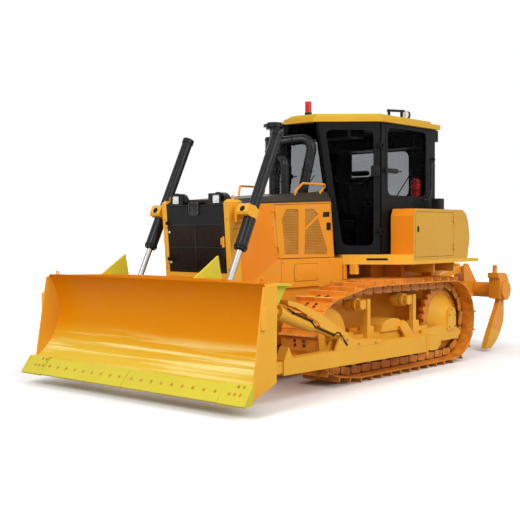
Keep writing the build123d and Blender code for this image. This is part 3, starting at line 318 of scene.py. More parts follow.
# black hood top with a painted reflection: brownish grey, lighter than the other blacks
hoodBlackSheen = makePlain("hoodBlackSheen", (0.040, 0.031, 0.022), 0.5, spread=0.2, gloss=0.12)
satinBlack = makePlain("satinBlack", grey(0.008), 0.5, spread=0.2, gloss=0.12)
cabPaint = makePlain("cabPaint", (0.0045, 0.0045, 0.0048), 0.5, spread=0.2, gloss=0.1)
rubber = makePlain("rubber", grey(0.005), 0.6, bump=0.1, gloss=0.12)
chrome = makePlain("chrome", (0.36, 0.35, 0.34), 0.45, metal=1.0, spread=0.06, bump=0.0)
castIron = makePlain("castIron", (0.060, 0.056, 0.052), 0.65, bump=0.3, fine=90)
seatCloth = makePlain("seatCloth", grey(0.014), 0.9, bump=0.4, fine=400)
zinc = makePlain("zinc", (0.72, 0.70, 0.62), 0.35, metal=0.3, spread=0.15)
redLens = makePlain("redLens", (0.60, 0.012, 0.012), 0.18, spread=0.15, bump=0.02)
whiteLens = makePlain("whiteLens", (0.80, 0.81, 0.80), 0.12, spread=0.06, bump=0.02)
ventMesh = makePerforated("ventMesh", (0.56, 0.24, 0.03), (0.17, 0.06, 0.012), (0.46, 0.23, 0.07),
                          0.026, "Y")
grilleMesh = makePerforated("grilleMesh", (0.014, 0.006, 0.003), (0.003, 0.002, 0.001),
                            (0.040, 0.014, 0.005), 0.032, "X")
glass = makeGlass()
print("materials made")


def dress(name, *materials, choose=None):
    # puts materials on a CAD node; choose gives each face its number from its middle and normal
    mesh = nodes[name].data
    mesh.materials.clear()
    for material in materials:
        mesh.materials.append(material)
    if choose is None:
        return
    count = len(mesh.polygons)
    middle, normal = np.zeros(count * 3), np.zeros(count * 3)
    mesh.polygons.foreach_get("center", middle)
    mesh.polygons.foreach_get("normal", normal)
    index = choose(middle.reshape(-1, 3).T, normal.reshape(-1, 3).T)
    mesh.polygons.foreach_set("material_index", np.asarray(index, np.int32))
    mesh.update()


dressSetup = {
    "guardHead": (0.44, 1.95),           # the guard's dark head: half width, and from this height
    "boxFront": 0.43,                    # the side boxes' front faces, given painted shade, end here
    "hoodSplit": -1.5,                   # deeper paint ahead of this
    "vent": (0.4895, 0.4935, 1.7, 0.28),  # vent sheets: x from and to, middle height, half height
    "ear": (0.711, 0.012, 1.19),         # ears: x, half thickness, and from this height
    "gusset": (1.2, -2.735, 0.87),       # corner gussets: past this x, y and z
    "sidePlate": 1.638,
    "lens": (-2.138, 0.31, 0.063, 2.002, 2.1115),   # headlamps: y, x, half width, low, high
    "roofBand": 3.101,                   # top of the roof's lower band; above it the roof's top gets a painted highlight
    "beacon": (0.3, 3.20),               # half width of its place, and top of its foot
    "lampLow": 3.15,
    "block": (1.80, 1.99, -1.80),        # the barrels' swinging blocks: low, high, behind this y
    "rodEye": 0.819,                     # top of the rods' eyes
}
dressPlain = (
    (paint, ("main_frame", "rear_tank", "ripper_frame", "ripper_links", "ripper_shanks", "ripper_beam",
             "hood_rails")),
    (brightPaint, ("track_frame_left", "track_frame_right", "push_arms", "tilt_cylinder", "platform")),
    (boxPaint, ("side_box_door",)),
    (lemonPaint, ("cutting_edge",)),
    (trackPaint, ("sprocket_left", "sprocket_right")),
    (hoodBlackSheen, ("hood_top",)),
    (satinBlack, ("grille_door",)),
    (blackPaint, ("air_intake", "ripper_barrels")),
    (cabPaint, ("cab_frame", "cab_door_left", "cab_door_right")),
    (glass, ("cab_glass", "door_glass_left", "door_glass_right")),
    (castIron, ("engine_block",)),
    (seatCloth, ("cab_seat",)),
    (chrome, ("ripper_rods",)),
)


def pickGuardHead(p, n):
    half, low = dressSetup["guardHead"]
    return (np.abs(p[0]) < half) & (p[2] > low)


def pickShadedBoxFront(p, n):
    # painted shade: faces turned to the front take the deeper orange
    return (n[1] < -0.5) & (p[1] < dressSetup["boxFront"])


def pickVent(p, n):
    near, far, middle, half = dressSetup["vent"]
    x = np.abs(p[0])
    return (x > near) & (x < far) & (np.abs(n[0]) > 0.9) & (np.abs(p[2] - middle) < half)


def pickBlade(p, n):
    # 1 on the ears and gussets, 2 on the side plates
    place, half, low = dressSetup["ear"]
    ear = (np.abs(np.abs(p[0]) - place) < half) & (p[2] > low)
    x, y, z = dressSetup["gusset"]
    gusset = (np.abs(p[0]) > x) & (p[1] > y) & (p[2] > z)
    return np.where(ear | gusset, 1, np.where(np.abs(p[0]) > dressSetup["sidePlate"], 2, 0))


def pickLens(p, n):
    front, place, half, low, high = dressSetup["lens"]
    return (p[1] < front) & (np.abs(np.abs(p[0]) - place) < half) & (p[2] > low) & (p[2] < high)


def pickRoofLamp(p, n):
    # in the middle the red beacon over its dark foot, beside it white lenses on dark lamps
    half, foot = dressSetup["beacon"]
    beacon = np.where(p[2] < foot, 1, 0)
    lamp = np.where((n[1] < -0.9) & (p[2] > dressSetup["lampLow"]), 2, 1)
    return np.where(np.abs(p[0]) < half, beacon, lamp)


def pickBlock(p, n):
    low, high, front = dressSetup["block"]
    return (p[2] > low) & (p[2] < high) & (p[1] < front)


def dressFrame():
    for material, names in dressPlain:
        for name in names:
            dress(name, material)
    dress("radiator_guard", brightPaint, blackPaint, choose=pickGuardHead)
    dress("hood_sides", deepPaint, paint, choose=lambda p, n: p[1] > dressSetup["hoodSplit"])
    dress("blade", bladePaint, lemonPaint, brightPaint, choose=pickBlade)
    dress("headlamps", blackPaint, whiteLens, choose=pickLens)
    dress("cab_roof", roofPaint, crownPaint, choose=lambda p, n: p[2] > dressSetup["roofBand"])
    dress("roof_lamps", redLens, blackPaint, whiteLens, choose=pickRoofLamp)
    for side in ("_left", "_right"):
        # painted shade on the side boxes' front faces
        dress("side_box" + side, boxPaint, deepPaint, choose=pickShadedBoxFront)
        dress("engine_door" + side, paint, ventMesh, choose=pickVent)
        dress("lift_barrel" + side, blackPaint, brightPaint, choose=pickBlock)
        dress("lift_rod" + side, chrome, brightPaint, choose=lambda p, n: p[2] < dressSetup["rodEye"])


dressFrame()
print("frame dressed")

# Surfaces worked out with numpy


def addPiece(name, points, faces, body, *materials, slot="dark"):
    # a piece from points in millimetres and a list of faces
    mesh = bpy.data.meshes.new(name)
    mesh.from_pydata((np.asarray(points, float).reshape(-1, 3) / 1000).tolist(), [], faces)
    mesh.update()
    mesh.polygons.foreach_set("use_smooth", np.ones(len(mesh.polygons), bool))
    mesh.set_sharp_from_angle(angle=math.radians(38))
    for material in materials:
        mesh.materials.append(material)
    piece = bpy.data.objects.new(name, mesh)
    scene.collection.objects.link(piece)
    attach(piece, body)
    return piece


def gridFaces(rows, columns, closeRows=False):
    # quads between the neighbours of a grid whose columns go round, its open ends capped
    index = np.arange(rows * columns).reshape(rows, columns)
    after = np.roll(index, -1, axis=0) if closeRows else index[1:]
    before = index if closeRows else index[:-1]
    quads = np.stack([before, np.roll(before, -1, 1), np.roll(after, -1, 1), after], -1)
    faces = quads.reshape(-1, 4).tolist()
    if not closeRows:
        faces += [index[0, ::-1].tolist(), index[-1].tolist()]
    return faces


def joined(parts):
    # several (points, faces) into one
    points, faces, count = [], [], 0
    for some, sides in parts:
        some = np.asarray(some, float).reshape(-1, 3)
        faces += [[i + count for i in face] for face in sides]
        points.append(some)
        count += len(some)
    return np.concatenate(points), faces


def across(axis):
    # an axis as a unit vector, and two more at right angles to it
    axis = np.asarray(axis, float) / np.linalg.norm(axis)
    guide = np.array([0, 0, 1.0]) if abs(axis[2]) < 0.9 else np.array([1.0, 0, 0])
    first = np.cross(guide, axis)
    first /= np.linalg.norm(first)
    return axis, first, np.cross(axis, first)


def lathe(profile, at, axis, steps=24, ring=False):
    # point(t, a) = at + axis h(t) + (first cos a + second sin a) r(t); a ring's profile is closed
    axis, first, second = across(axis)
    radius, height = np.asarray(profile, float).T
    angle = np.arange(steps) * 2 * math.pi / steps
    way = np.cos(angle)[:, None] * first + np.sin(angle)[:, None] * second
    points = np.asarray(at, float) + height[:, None, None] * axis + radius[:, None, None] * way
    return points.reshape(-1, 3), gridFaces(len(radius), steps, closeRows=ring)


def bends(a, corners, b, steps):
    # (1-t)^2 a + 2t(1-t) corner + t^2 b, for every corner at once
    t = np.linspace(0, 1, steps + 1)[None, :, None]
    return (1 - t) ** 2 * a[:, None] + 2 * t * (1 - t) * corners[:, None] + t ** 2 * b[:, None]


def rounded(corners, radius, steps=5):
    # a closed outline whose corners become bends between a and b, a radius away on their two sides
    corners = np.asarray(corners, float)
    back, ahead = np.roll(corners, 1, 0) - corners, np.roll(corners, -1, 0) - corners
    long, wide = np.linalg.norm(back, axis=1), np.linalg.norm(ahead, axis=1)
    a = corners + back * (np.minimum(radius, long * 0.45) / long)[:, None]
    b = corners + ahead * (np.minimum(radius, wide * 0.45) / wide)[:, None]
    return bends(a, corners, b, steps).reshape(-1, corners.shape[1])


def turning(outline):
    # twice the signed area: sum of x y' - x' y over the sides, above 0 when it goes round counterwise
    after = np.roll(outline, -1, 0)
    return np.sum(outline[:, 0] * after[:, 1] - after[:, 0] * outline[:, 1])


def inset(outline, amount):
    # moves each point of a closed outline inwards by an amount, along its mitre
    ahead = np.roll(outline, -1, 0) - outline
    back = outline - np.roll(outline, 1, 0)
    ahead = ahead / np.maximum(np.linalg.norm(ahead, axis=1), 1e-9)[:, None]
    back = back / np.maximum(np.linalg.norm(back, axis=1), 1e-9)[:, None]
    turn = np.stack([-(ahead + back)[:, 1], (ahead + back)[:, 0]], -1)
    turn /= np.maximum(np.linalg.norm(turn, axis=1), 1e-9)[:, None]
    return outline + turn * amount * (1 if turning(outline) > 0 else -1)


def counterwise(outline):
    # an outline turned so that it goes round counterwise
    outline = np.asarray(outline, float)
    return outline if turning(outline) > 0 else outline[::-1]


def onPlane(outline, origin, u, v, height):
    # point = origin + u x + v y + height times the unit vector at right angles to u and v
    u, v = np.asarray(u, float), np.asarray(v, float)
    out = np.cross(u, v)
    out /= np.linalg.norm(out)
    return np.asarray(origin, float) + outline[:, :1] * u + outline[:, 1:] * v + out * height


def plate(outline, origin, u, v, low, high, soft=2.0):
    # a plate on a plane, from low to high over it: rows of ever smaller outlines round its top edge
    outline = counterwise(outline)
    turn = np.linspace(0, math.pi / 2, 4)
    heights = np.concatenate([[low], high - soft + soft * np.sin(turn)])
    amounts = np.concatenate([[0], soft - soft * np.cos(turn)])
    rows = [onPlane(inset(outline, amount), origin, u, v, height)
            for height, amount in zip(heights, amounts)]
    return np.stack(rows).reshape(-1, 3), gridFaces(len(rows), len(outline))


def frameRing(outer, inner, origin, u, v, low, high):
    # a flat ring between two outlines with as many points, closed both ways round
    rows = [onPlane(edge, origin, u, v, height)
            for edge, height in ((outer, low), (outer, high), (inner, high), (inner, low))]
    return np.stack(rows).reshape(-1, 3), gridFaces(4, len(outer), closeRows=True)


def smoothPath(corners, radius, steps=6):
    # an open path through corners that become bends, as in rounded
    corners = np.asarray(corners, float)
    middle = corners[1:-1]
    back, ahead = corners[:-2] - middle, corners[2:] - middle
    long, wide = np.linalg.norm(back, axis=1), np.linalg.norm(ahead, axis=1)
    a = middle + back * (np.minimum(radius, long * 0.48) / long)[:, None]
    b = middle + ahead * (np.minimum(radius, wide * 0.48) / wide)[:, None]
    return np.concatenate([corners[:1], bends(a, middle, b, steps).reshape(-1, 3), corners[-1:]])


def tube(path, radius, sides=12):
    # point(s, a) = path(s) + r (first cos a + second sin a), first and second turned with the path
    path = np.asarray(path, float)
    way = np.gradient(path, axis=0)
    way /= np.linalg.norm(way, axis=1)[:, None]
    guide = across(way.mean(0) + way[0] * 0.01)[1]
    first = guide - way * (way @ guide)[:, None]
    first /= np.linalg.norm(first, axis=1)[:, None]
    second = np.cross(way, first)
    angle = np.arange(sides) * 2 * math.pi / sides
    radius = np.broadcast_to(np.asarray(radius, float), (len(path),))
    points = path[:, None] + radius[:, None, None] * (np.cos(angle)[None, :, None] * first[:, None]
                                                      + np.sin(angle)[None, :, None] * second[:, None])
    return points.reshape(-1, 3), gridFaces(len(path), sides)


def repeated(shape, places, axes):
    # a copy of a small shape made round z at each place, z turned to each axis
    points, faces = shape
    places, axes = np.asarray(places, float), np.asarray(axes, float)
    axes = np.broadcast_to(axes, places.shape) / np.linalg.norm(axes, axis=-1, keepdims=True)
    guide = np.where(np.abs(axes[:, 2:3]) < 0.9, [[0, 0, 1.0]], [[1.0, 0, 0]])
    first = np.cross(guide, axes)
    first /= np.linalg.norm(first, axis=1)[:, None]
    second = np.cross(axes, first)
    turned = (points[None, :, :1] * first[:, None] + points[None, :, 1:2] * second[:, None]
              + points[None, :, 2:] * axes[:, None]) + places[:, None]
    allFaces = [[i + k * len(points) for i in face] for k in range(len(places)) for face in faces]
    return turned.reshape(-1, 3), allFaces


def hexBolt(flats, height):
    # a washer and a six-sided head with a rounded crown
    washer = lathe([(flats * 0.72, 0), (flats * 0.72, height * 0.18), (flats * 0.5, height * 0.2)],
                   (0, 0, 0), (0, 0, 1), 12)
    head = lathe([(flats * 0.57, height * 0.15), (flats * 0.57, height * 0.85),
                  (flats * 0.45, height)], (0, 0, 0), (0, 0, 1), 6)
    return joined([washer, head])


def mirrored(shape):
    # a shape and its mirror image across the machine, faces turned so that they still point outwards
    points, faces = shape
    return joined([(points, faces), (points * (-1, 1, 1), [face[::-1] for face in faces])])


def flipped(shape):
    # the mirror image alone
    return shape[0] * (-1, 1, 1), [face[::-1] for face in shape[1]]


def torus(at, axis, radius, thick, steps=20, sides=8):
    # point(a, b) = at + (first cos a + second sin a)(R + r cos b) + axis r sin b
    axis, first, second = across(axis)
    a = np.arange(steps) * 2 * math.pi / steps
    b = np.arange(sides) * 2 * math.pi / sides
    ring = np.cos(a)[:, None, None] * first + np.sin(a)[:, None, None] * second
    points = (np.asarray(at, float) + ring * (radius + thick * np.cos(b))[None, :, None]
              + axis * (thick * np.sin(b))[None, :, None])
    return points.reshape(-1, 3), gridFaces(steps, sides, closeRows=True)


def box(low, high, soft=4.0):
    # a block between two corners with its outer edges rounded
    (x0, y0, z0), (x1, y1, z1) = low, high
    outline = rounded(rectangle(x0, x1, y0, y1), soft, 3)
    return plate(outline, (0, 0, 0), (1, 0, 0), (0, 1, 0), z0, z1, soft)


def rectangle(x0, x1, y0, y1):
    return [(x0, y0), (x1, y0), (x1, y1), (x0, y1)]


# Blade: plough bolts on the cutting edge and end bits

edgeSetup = {
    "tip": (-3237, 141), "top": (-3094, 300),  # y and z of the edge's front face
    "first": 95, "gap": 146, "count": 9,       # bolts of each half
    "row": 0.52,                               # share of the way up the face
    "bitTip": (-3237, 136), "bitTop": (-3098, 318),
    "bitLow": (1450, 1518, 1586, -1378, -1446, -1514), "bitHigh": (1524, 1592, -1372, -1440),
    "bitRows": (0.48, 0.84),
    "radius": 15,
    "head": ((1.25, -1), (1.25, 1.5), (1.02, 3.2), (0.92, 1.2), (0.55, 1.0), (0.5, 2.6), (0.2, 3.0)),
}


def onEdge(x, share, tip, top):
    # tip + (top - tip) share, at each x
    tip, top = np.array(edgeSetup[tip], float), np.array(edgeSetup[top], float)
    return np.column_stack([np.asarray(x, float), tip + (top - tip) * np.full(len(x), share)[:, None]])


def makeEdgeBolts():
    main = edgeSetup["first"] + edgeSetup["gap"] * np.arange(edgeSetup["count"])
    low, high = edgeSetup["bitRows"]
    spots = [onEdge(np.concatenate([main, -main]), edgeSetup["row"], "tip", "top"),
             onEdge(edgeSetup["bitLow"], low, "bitTip", "bitTop"),
             onEdge(edgeSetup["bitHigh"], high, "bitTip", "bitTop")]
    run = np.subtract(edgeSetup["top"], edgeSetup["tip"])
    out = np.array([0, -run[1], run[0]]) / np.hypot(*run)
    profile = [(edgeSetup["radius"] * share, height) for share, height in edgeSetup["head"]]
    head = lathe(profile, (0, 0, 0), (0, 0, 1), 16)
    points, faces = repeated(head, np.concatenate(spots), out)
    addPiece("edge_bolts", points, faces, "blade", boltPaint, slot="edge")


makeEdgeBolts()

# Tracks: bolts on the shoes, pins and bushings in the chains

trackSetup = {
    "pitch": 203.2, "count": 37, "line": 119, "gauge": 1880, "phase": 92,
    "sprocketY": 1392, "idlerRadius": 367, "idlerZ": 535,
    "roller": -620, "liesAhead": 115,          # the first roller, and how far the chain lies ahead of it
    "carriers": (-560, 420), "carrierLine": 1009,
    "plate": 69, "tip": 116,                   # heights of the shoe's plate and its grouser over the pins
    "rail": 62, "railHalf": 19.5,              # a rail's middle and half width
    "link": ((-46, -34), (122, -48), (146, -30), (138, 38), (-20, 48), (-46, 24)),
    "bolts": ((70, 62), (70, -62), (118, 62), (118, -62)),   # run along a shoe, offset across
    "boltSize": (26, 15),
    "teeth": 13.5, "ride": 1.009,              # pitches round the sprocket, and how far out they ride
    "idlerY": (-1573.0, -973.0),               # the idler's axle lies between these
    "linkFace": (17, 24),                      # of a link's outer plate, from the rail's middle
    "pinOut": 23,
    "pinEnd": ((17, -4), (17, 3), (14, 5), (8, 5), (7, 3.5)),   # radius and height
    "boss": ((29, -2), (29, 2), (27, 3), (18, 3)),
    "bushing": ((30, -41), (30, 41)),
}


def pinPlaces():
    # the chain's closed line: lower run, idler arc, upper runs and sprocket arc, an even step apart
    s = trackSetup
    wheel = s["pitch"] * s["teeth"] / (2 * math.pi) * s["ride"]
    foot = np.array([s["roller"] - s["liesAhead"], s["line"]])
    front = np.array([s["carriers"][0], s["carrierLine"]])

    def path(idlerY):
        centre = np.array([idlerY, s["idlerZ"]])

        def tangent(point, sign):
            away = point - centre
            return np.arctan2(away[1], away[0]) + sign * np.arccos(s["idlerRadius"] / np.hypot(*away))

        low, high = tangent(foot, -1) % (2 * math.pi), tangent(front, 1) % (2 * math.pi)
        sweep = np.linspace(low, high, 41)
        arc = centre + s["idlerRadius"] * np.column_stack([np.cos(sweep), np.sin(sweep)])
        back = np.linspace(math.pi / 2, -math.pi / 2, 61)
        hub = np.array([s["sprocketY"], s["line"] + wheel])
        rear = hub + wheel * np.column_stack([np.cos(back), np.sin(back)])
        return np.concatenate([[[s["sprocketY"], s["line"]]], [foot], arc, [front],
                               [[s["carriers"][1], s["carrierLine"]]], rear])

    def length(line):
        return np.hypot(*(np.roll(line, -1, 0) - line).T).sum()

    # halve the idler's range until the line is as long as all the pitches together
    low, high = s["idlerY"]
    for halving in range(50):
        middle = (low + high) / 2
        low, high = (middle, high) if length(path(middle)) > s["count"] * s["pitch"] else (low, middle)
    line = path(middle)
    closed = np.concatenate([line, line[:1]])
    travelled = np.concatenate([[0], np.cumsum(np.hypot(*np.diff(closed, axis=0).T))])
    wanted = s["phase"] + np.arange(s["count"]) * travelled[-1] / s["count"]
    return np.column_stack([np.interp(wanted, travelled, closed[:, i]) for i in (0, 1)])


def alongChain(shape, pins, ahead, out, x, face):
    # a shape in (run, rise, depth) set at every pin, its depth pointing to one side
    points, faces = shape
    run, rise, deep = points.T
    place = (pins[:, None, :] + ahead[:, None, :] * run[None, :, None]
             + out[:, None, :] * rise[None, :, None])
    aside = np.broadcast_to(x + face * deep, place.shape[:2])
    full = np.concatenate([aside[..., None], place], -1).reshape(-1, 3)
    loops = [side[::face] for side in faces]
    return full, [[i + step * len(points) for i in side] for step in range(len(pins)) for side in loops]


def makeTrackDetail():
    s = trackSetup
    pins = pinPlaces()
    ahead = np.roll(pins, -1, 0) - pins
    ahead /= np.hypot(*ahead.T)[:, None]
    out = np.column_stack([-ahead[:, 1], ahead[:, 0]])
    middles = (pins + np.roll(pins, -1, 0)) / 2

    def pick(p, n):
        # 1 in the chain's bands, dark as painted shadow between the links, 2 on the grouser tips, pale for
        # wear and a painted highlight: height = (place - pin) . outward
        spot = np.column_stack([p[1], p[2]]) * 1000
        near = np.argmin(np.hypot(*(spot[:, None, :] - middles[None, :, :]).transpose(2, 0, 1)), 1)
        height = ((spot - pins[near]) * out[near]).sum(1)
        band = np.abs(np.abs(np.abs(p[0]) - s["gauge"] / 2000) - s["rail"] / 1000) < s["railHalf"] / 1000
        return np.where(height > s["tip"], 2, np.where(band, 1, 0))

    for name in ("track_left", "track_right"):
        # track shoes, with the chain bands in painted shadow and the grouser tips in wear and painted
        # highlight
        dress(name, trackPaint, chainShadowDark, tipWearAndHighlight, choose=pick)
    low, high = s["linkFace"]
    link = plate(rounded(s["link"], 22, 4), (0, 0, 0), (1, 0, 0), (0, 1, 0), low, high, 3)
    pinEnd, boss, bushing = (lathe(s[part], (0, 0, 0), (0, 0, 1), steps)
                             for part, steps in (("pinEnd", 12), ("boss", 14), ("bushing", 12)))
    for side, word in ((1, "left"), (-1, "right")):
        places, axes = [], []
        for run, offset in s["bolts"]:
            spot = pins + ahead * run + out * s["plate"]
            places.append(np.column_stack([np.full(len(spot), side * s["gauge"] / 2 + offset), spot]))
            axes.append(np.column_stack([np.zeros(len(spot)), out]))
        heads = repeated(hexBolt(*s["boltSize"]), np.concatenate(places), np.concatenate(axes))
        addPiece("shoe_bolts_" + word, *heads, "machine", chainShadowDark, slot="track")
        spots, ways = [], []
        for chain in (-1, 1):
            for face in (-1, 1):
                x = side * s["gauge"] / 2 + chain * s["rail"] + face * s["pinOut"]
                spots.append(np.column_stack([np.full(len(pins), x), pins]))
                ways.append(np.tile([face, 0, 0], (len(pins), 1)))
        ends = repeated(joined([pinEnd, boss]), np.concatenate(spots), np.concatenate(ways))
        links = [alongChain(link, pins, ahead, out, side * s["gauge"] / 2 + chain * s["rail"], face)
                 for chain in (-1, 1) for face in (-1, 1)]
        addPiece("chain_links_" + word, *joined(links), "machine", linkPaint, slot="track")
        addPiece("chain_pins_" + word, *ends, "machine", linkPaint, slot="track")
        between = np.column_stack([np.full(len(pins), side * s["gauge"] / 2), pins])
        addPiece("chain_bushings_" + word, *repeated(bushing, between, (1, 0, 0)), "machine", chainShadowDark,
                 slot="track")


makeTrackDetail()
print("blade and tracks finished")

# Radiator grille: sheet before the bars, latch, bare front plate

grilleSetup = {
    "face": -2021.3,                  # y of the guard's leaning face carried down to the ground
    "lean": 0.075,                    # its lean, forwards for each unit up
    "sheet": (428, 1283, 1782),       # half width, low and high edge
    "stays": (7, 5),                  # half widths of the upright and the level bars
    "latch": ((396, 1535), (432, 1535), (432, 1655), (414, 1655), (396, 1610)),
    "pull": ((404, -2150, 1560), (404, -2168, 1565), (404, -2171, 1630), (404, -2156, 1638)),
    "plate": (74, 1885, 2024),
    "plateRound": 24, "rim": 9,
    "bolts": ((-408, 1699), (-408, 1362)),
    "lamp": (310, -2147, 2057),       # middle of the left headlamp's glass
    "lampRim": (61, 53, 14, 9),       # half width, half height, corner radius, width of the rim
    "bulb": ((30, 0), (29, 3), (24, 6), (10, 8)),
}
leanWay = (0, -grilleSetup["lean"], 1)


def onGrille(outline, low, high, soft=2.0):
    # a plate on the guard's leaning face, its outline given in x and height
    return plate(outline, (0, grilleSetup["face"], 0), (1, 0, 0), leanWay, low, high, soft)


def grillePoint(x, z, out):
    # a place on the leaning face, or so far out of it
    return x, grilleSetup["face"] - grilleSetup["lean"] * z - out, z


def makeGrille():
    half, low, high = grilleSetup["sheet"]
    sheet = onGrille(rectangle(-half, half, low, high), 1, 3, 0.5)
    addPiece("grille_sheet", *sheet, "grille_door", grilleMesh)
    wide, flat = grilleSetup["stays"]
    stays = [onGrille(rectangle(x - wide, x + wide, low, high), 2, 8, 2) for x in (-half + 4, 0, half - 4)]
    stays += [onGrille(rectangle(-half, half, z - flat, z + flat), 2, 6, 2)
              for z in (low + 3, (low + high) / 2, high - 3)]
    addPiece("grille_stays", *joined(stays), "grille_door", blackPaint)
    latch = joined([onGrille(rounded(grilleSetup["latch"], 12), 4, 15, 4),
                    tube(smoothPath(grilleSetup["pull"], 10), 6, 8)])
    addPiece("grille_latch", *latch, "grille_door", brightPaint, slot="paint")

    half, low, high = grilleSetup["plate"]
    outer = rounded(rectangle(-half, half, low, high), grilleSetup["plateRound"], 6)
    inner = inset(counterwise(outer), grilleSetup["rim"])
    board = onGrille(outer, 4, 12, 2)
    rim = frameRing(outer, inner, (0, grilleSetup["face"], 0), (1, 0, 0), leanWay, 11, 17)
    front = addPiece("front_plate", *joined([board, rim]), "grille_door", castIron, blackPaint).data
    index = np.ones(len(front.polygons), np.int32)
    index[-len(rim[1]):] = 0
    front.polygons.foreach_set("material_index", index)
    spots = [grillePoint(x, z, 4) for x, z in grilleSetup["bolts"]]
    heads = repeated(hexBolt(20, 10), spots, (0, -1, -grilleSetup["lean"]))
    addPiece("grille_bolts", *heads, "grille_door", zinc)

    x, y, z = grilleSetup["lamp"]
    half, tall, corner, wide = grilleSetup["lampRim"]
    outer = counterwise(rounded(rectangle(x - half, x + half, z - tall, z + tall), corner, 4))
    lampRing = frameRing(outer, inset(outer, wide), (0, y, 0), (1, 0, 0), (0, 0, 1), 0, 11)
    addPiece("lamp_rims", *mirrored(lampRing), "machine", satinBlack)
    bulb = lathe(grilleSetup["bulb"], (x, y, z), (0, -1, 0), 20)
    addPiece("lamp_bulbs", *mirrored(bulb), "machine", whiteLens, slot="lamp")


makeGrille()

# Lift cylinders: caps on the swinging blocks, rings at the barrels' ends, pins at the rods' eyes

liftSetup = {
    "swing": (-2003, 1900), "eye": (-2559, 760), "x": 690,   # y and z of the pins' middles
    "cap": (670, -131, -10, 29),      # x, run ahead of the axis, rise along it, radius
    "gland": 398, "seal": 426,        # runs along the barrel
    "glandRing": ((62, -16), (70, -16), (74, -13), (74, 8), (70, 12), (62, 12)),   # radius and run
    "sealRing": ((40, -2), (48, -2), (47, 8), (40, 12)),
    "rodPin": ((30, 0), (30, 5), (24, 9), (12, 9)), "pinOut": 84,
}


def onLift(run, behind):
    # swing pin + axis run + rearward behind
    swing, eye = np.array(liftSetup["swing"], float), np.array(liftSetup["eye"], float)
    axis = (eye - swing) / np.hypot(*(eye - swing))
    spot = swing + axis * run + np.array([-axis[1], axis[0]]) * behind
    return np.array([liftSetup["x"], *spot])


def makeLiftDetail():
    axis = onLift(1, 0) - onLift(0, 0)
    rear = onLift(0, 1) - onLift(0, 0)
    x, ahead, rise, r = liftSetup["cap"]
    spot = onLift(-rise, ahead)
    spot[0] = x
    cap = lathe([(r + 3, -2), (r + 3, 3), (r, 6), (r * 0.7, 6), (r * 0.62, 3.5), (r * 0.3, 3.5)],
                spot, -rear, 24)
    gland = lathe(liftSetup["glandRing"], onLift(liftSetup["gland"], 0), axis, 28, ring=True)
    seal = lathe(liftSetup["sealRing"], onLift(liftSetup["seal"], 0), axis, 24, ring=True)
    pin = lathe(liftSetup["rodPin"], (liftSetup["x"] + liftSetup["pinOut"], *liftSetup["eye"]), (1, 0, 0), 20)
    for word, turn in (("left", lambda shape: shape), ("right", flipped)):
        addPiece("lift_cap_" + word, *turn(cap), "lift_barrel_" + word, satinBlack)
        addPiece("lift_gland_" + word, *turn(joined([gland, seal])), "lift_barrel_" + word, satinBlack)
        addPiece("rod_pin_" + word, *turn(pin), "blade", boltPaint, slot="edge")


makeLiftDetail()

# Hood sides: cover plates, seams, bolts, latches, lifting eyes

hoodSetup = {
    "side": 500,                      # x of the hood's side face
    "cover": ((-1057, 1132), (-606, 1132), (-606, 1327), (-1057, 1327)),
    "coverBolts": ((-1030, -633), (1159, 1300)),
    "seams": (((-1290, 1392), (-296, 1392), 500), ((-1290, 1066), (-1290, 1390), 500),
              ((-2140, 1736), (-1950, 1736), 511)),      # two ends and the face's x
    "latch": (-447, -371, 1719, 1811),
    "badge": ((-520, 1872), (-392, 1880), (-392, 1938), (-512, 1934)),
    "doorBolts": ((-1392, 1440), (-1404, 1560), (-1424, 1740), (-1446, 1920)),
    "panelBolts": ((-1900, 1120), (-1500, 1110), (-1100, 1100), (-340, 1110), (-1260, 1350),
                   (-400, 1350), (-1880, 1880)),
    "liftingEye": (475, -2060, 2072), "eyeSize": (19, 6),
    "eyeFoot": ((463, -2072, 2046), (487, -2048, 2056)),
    "columnBolts": (476, 1300, 1838),  # x, and the two heights
}


def onSide(outline, x, low, high, soft=1.5):
    # a plate on the plane x, its outline given in y and z
    return plate(outline, (x, 0, 0), (0, 1, 0), (0, 0, 1), low, high, soft)


def strip(a, b, x, wide=3.0):
    # a thin dark line lying on a side face between two places
    a, b = np.array(a, float), np.array(b, float)
    way = (b - a) / np.hypot(*(b - a))
    out = np.array([-way[1], way[0]]) * wide / 2
    return onSide([a - out, b - out, b + out, a + out], x, 0, 0.7, 0.2)


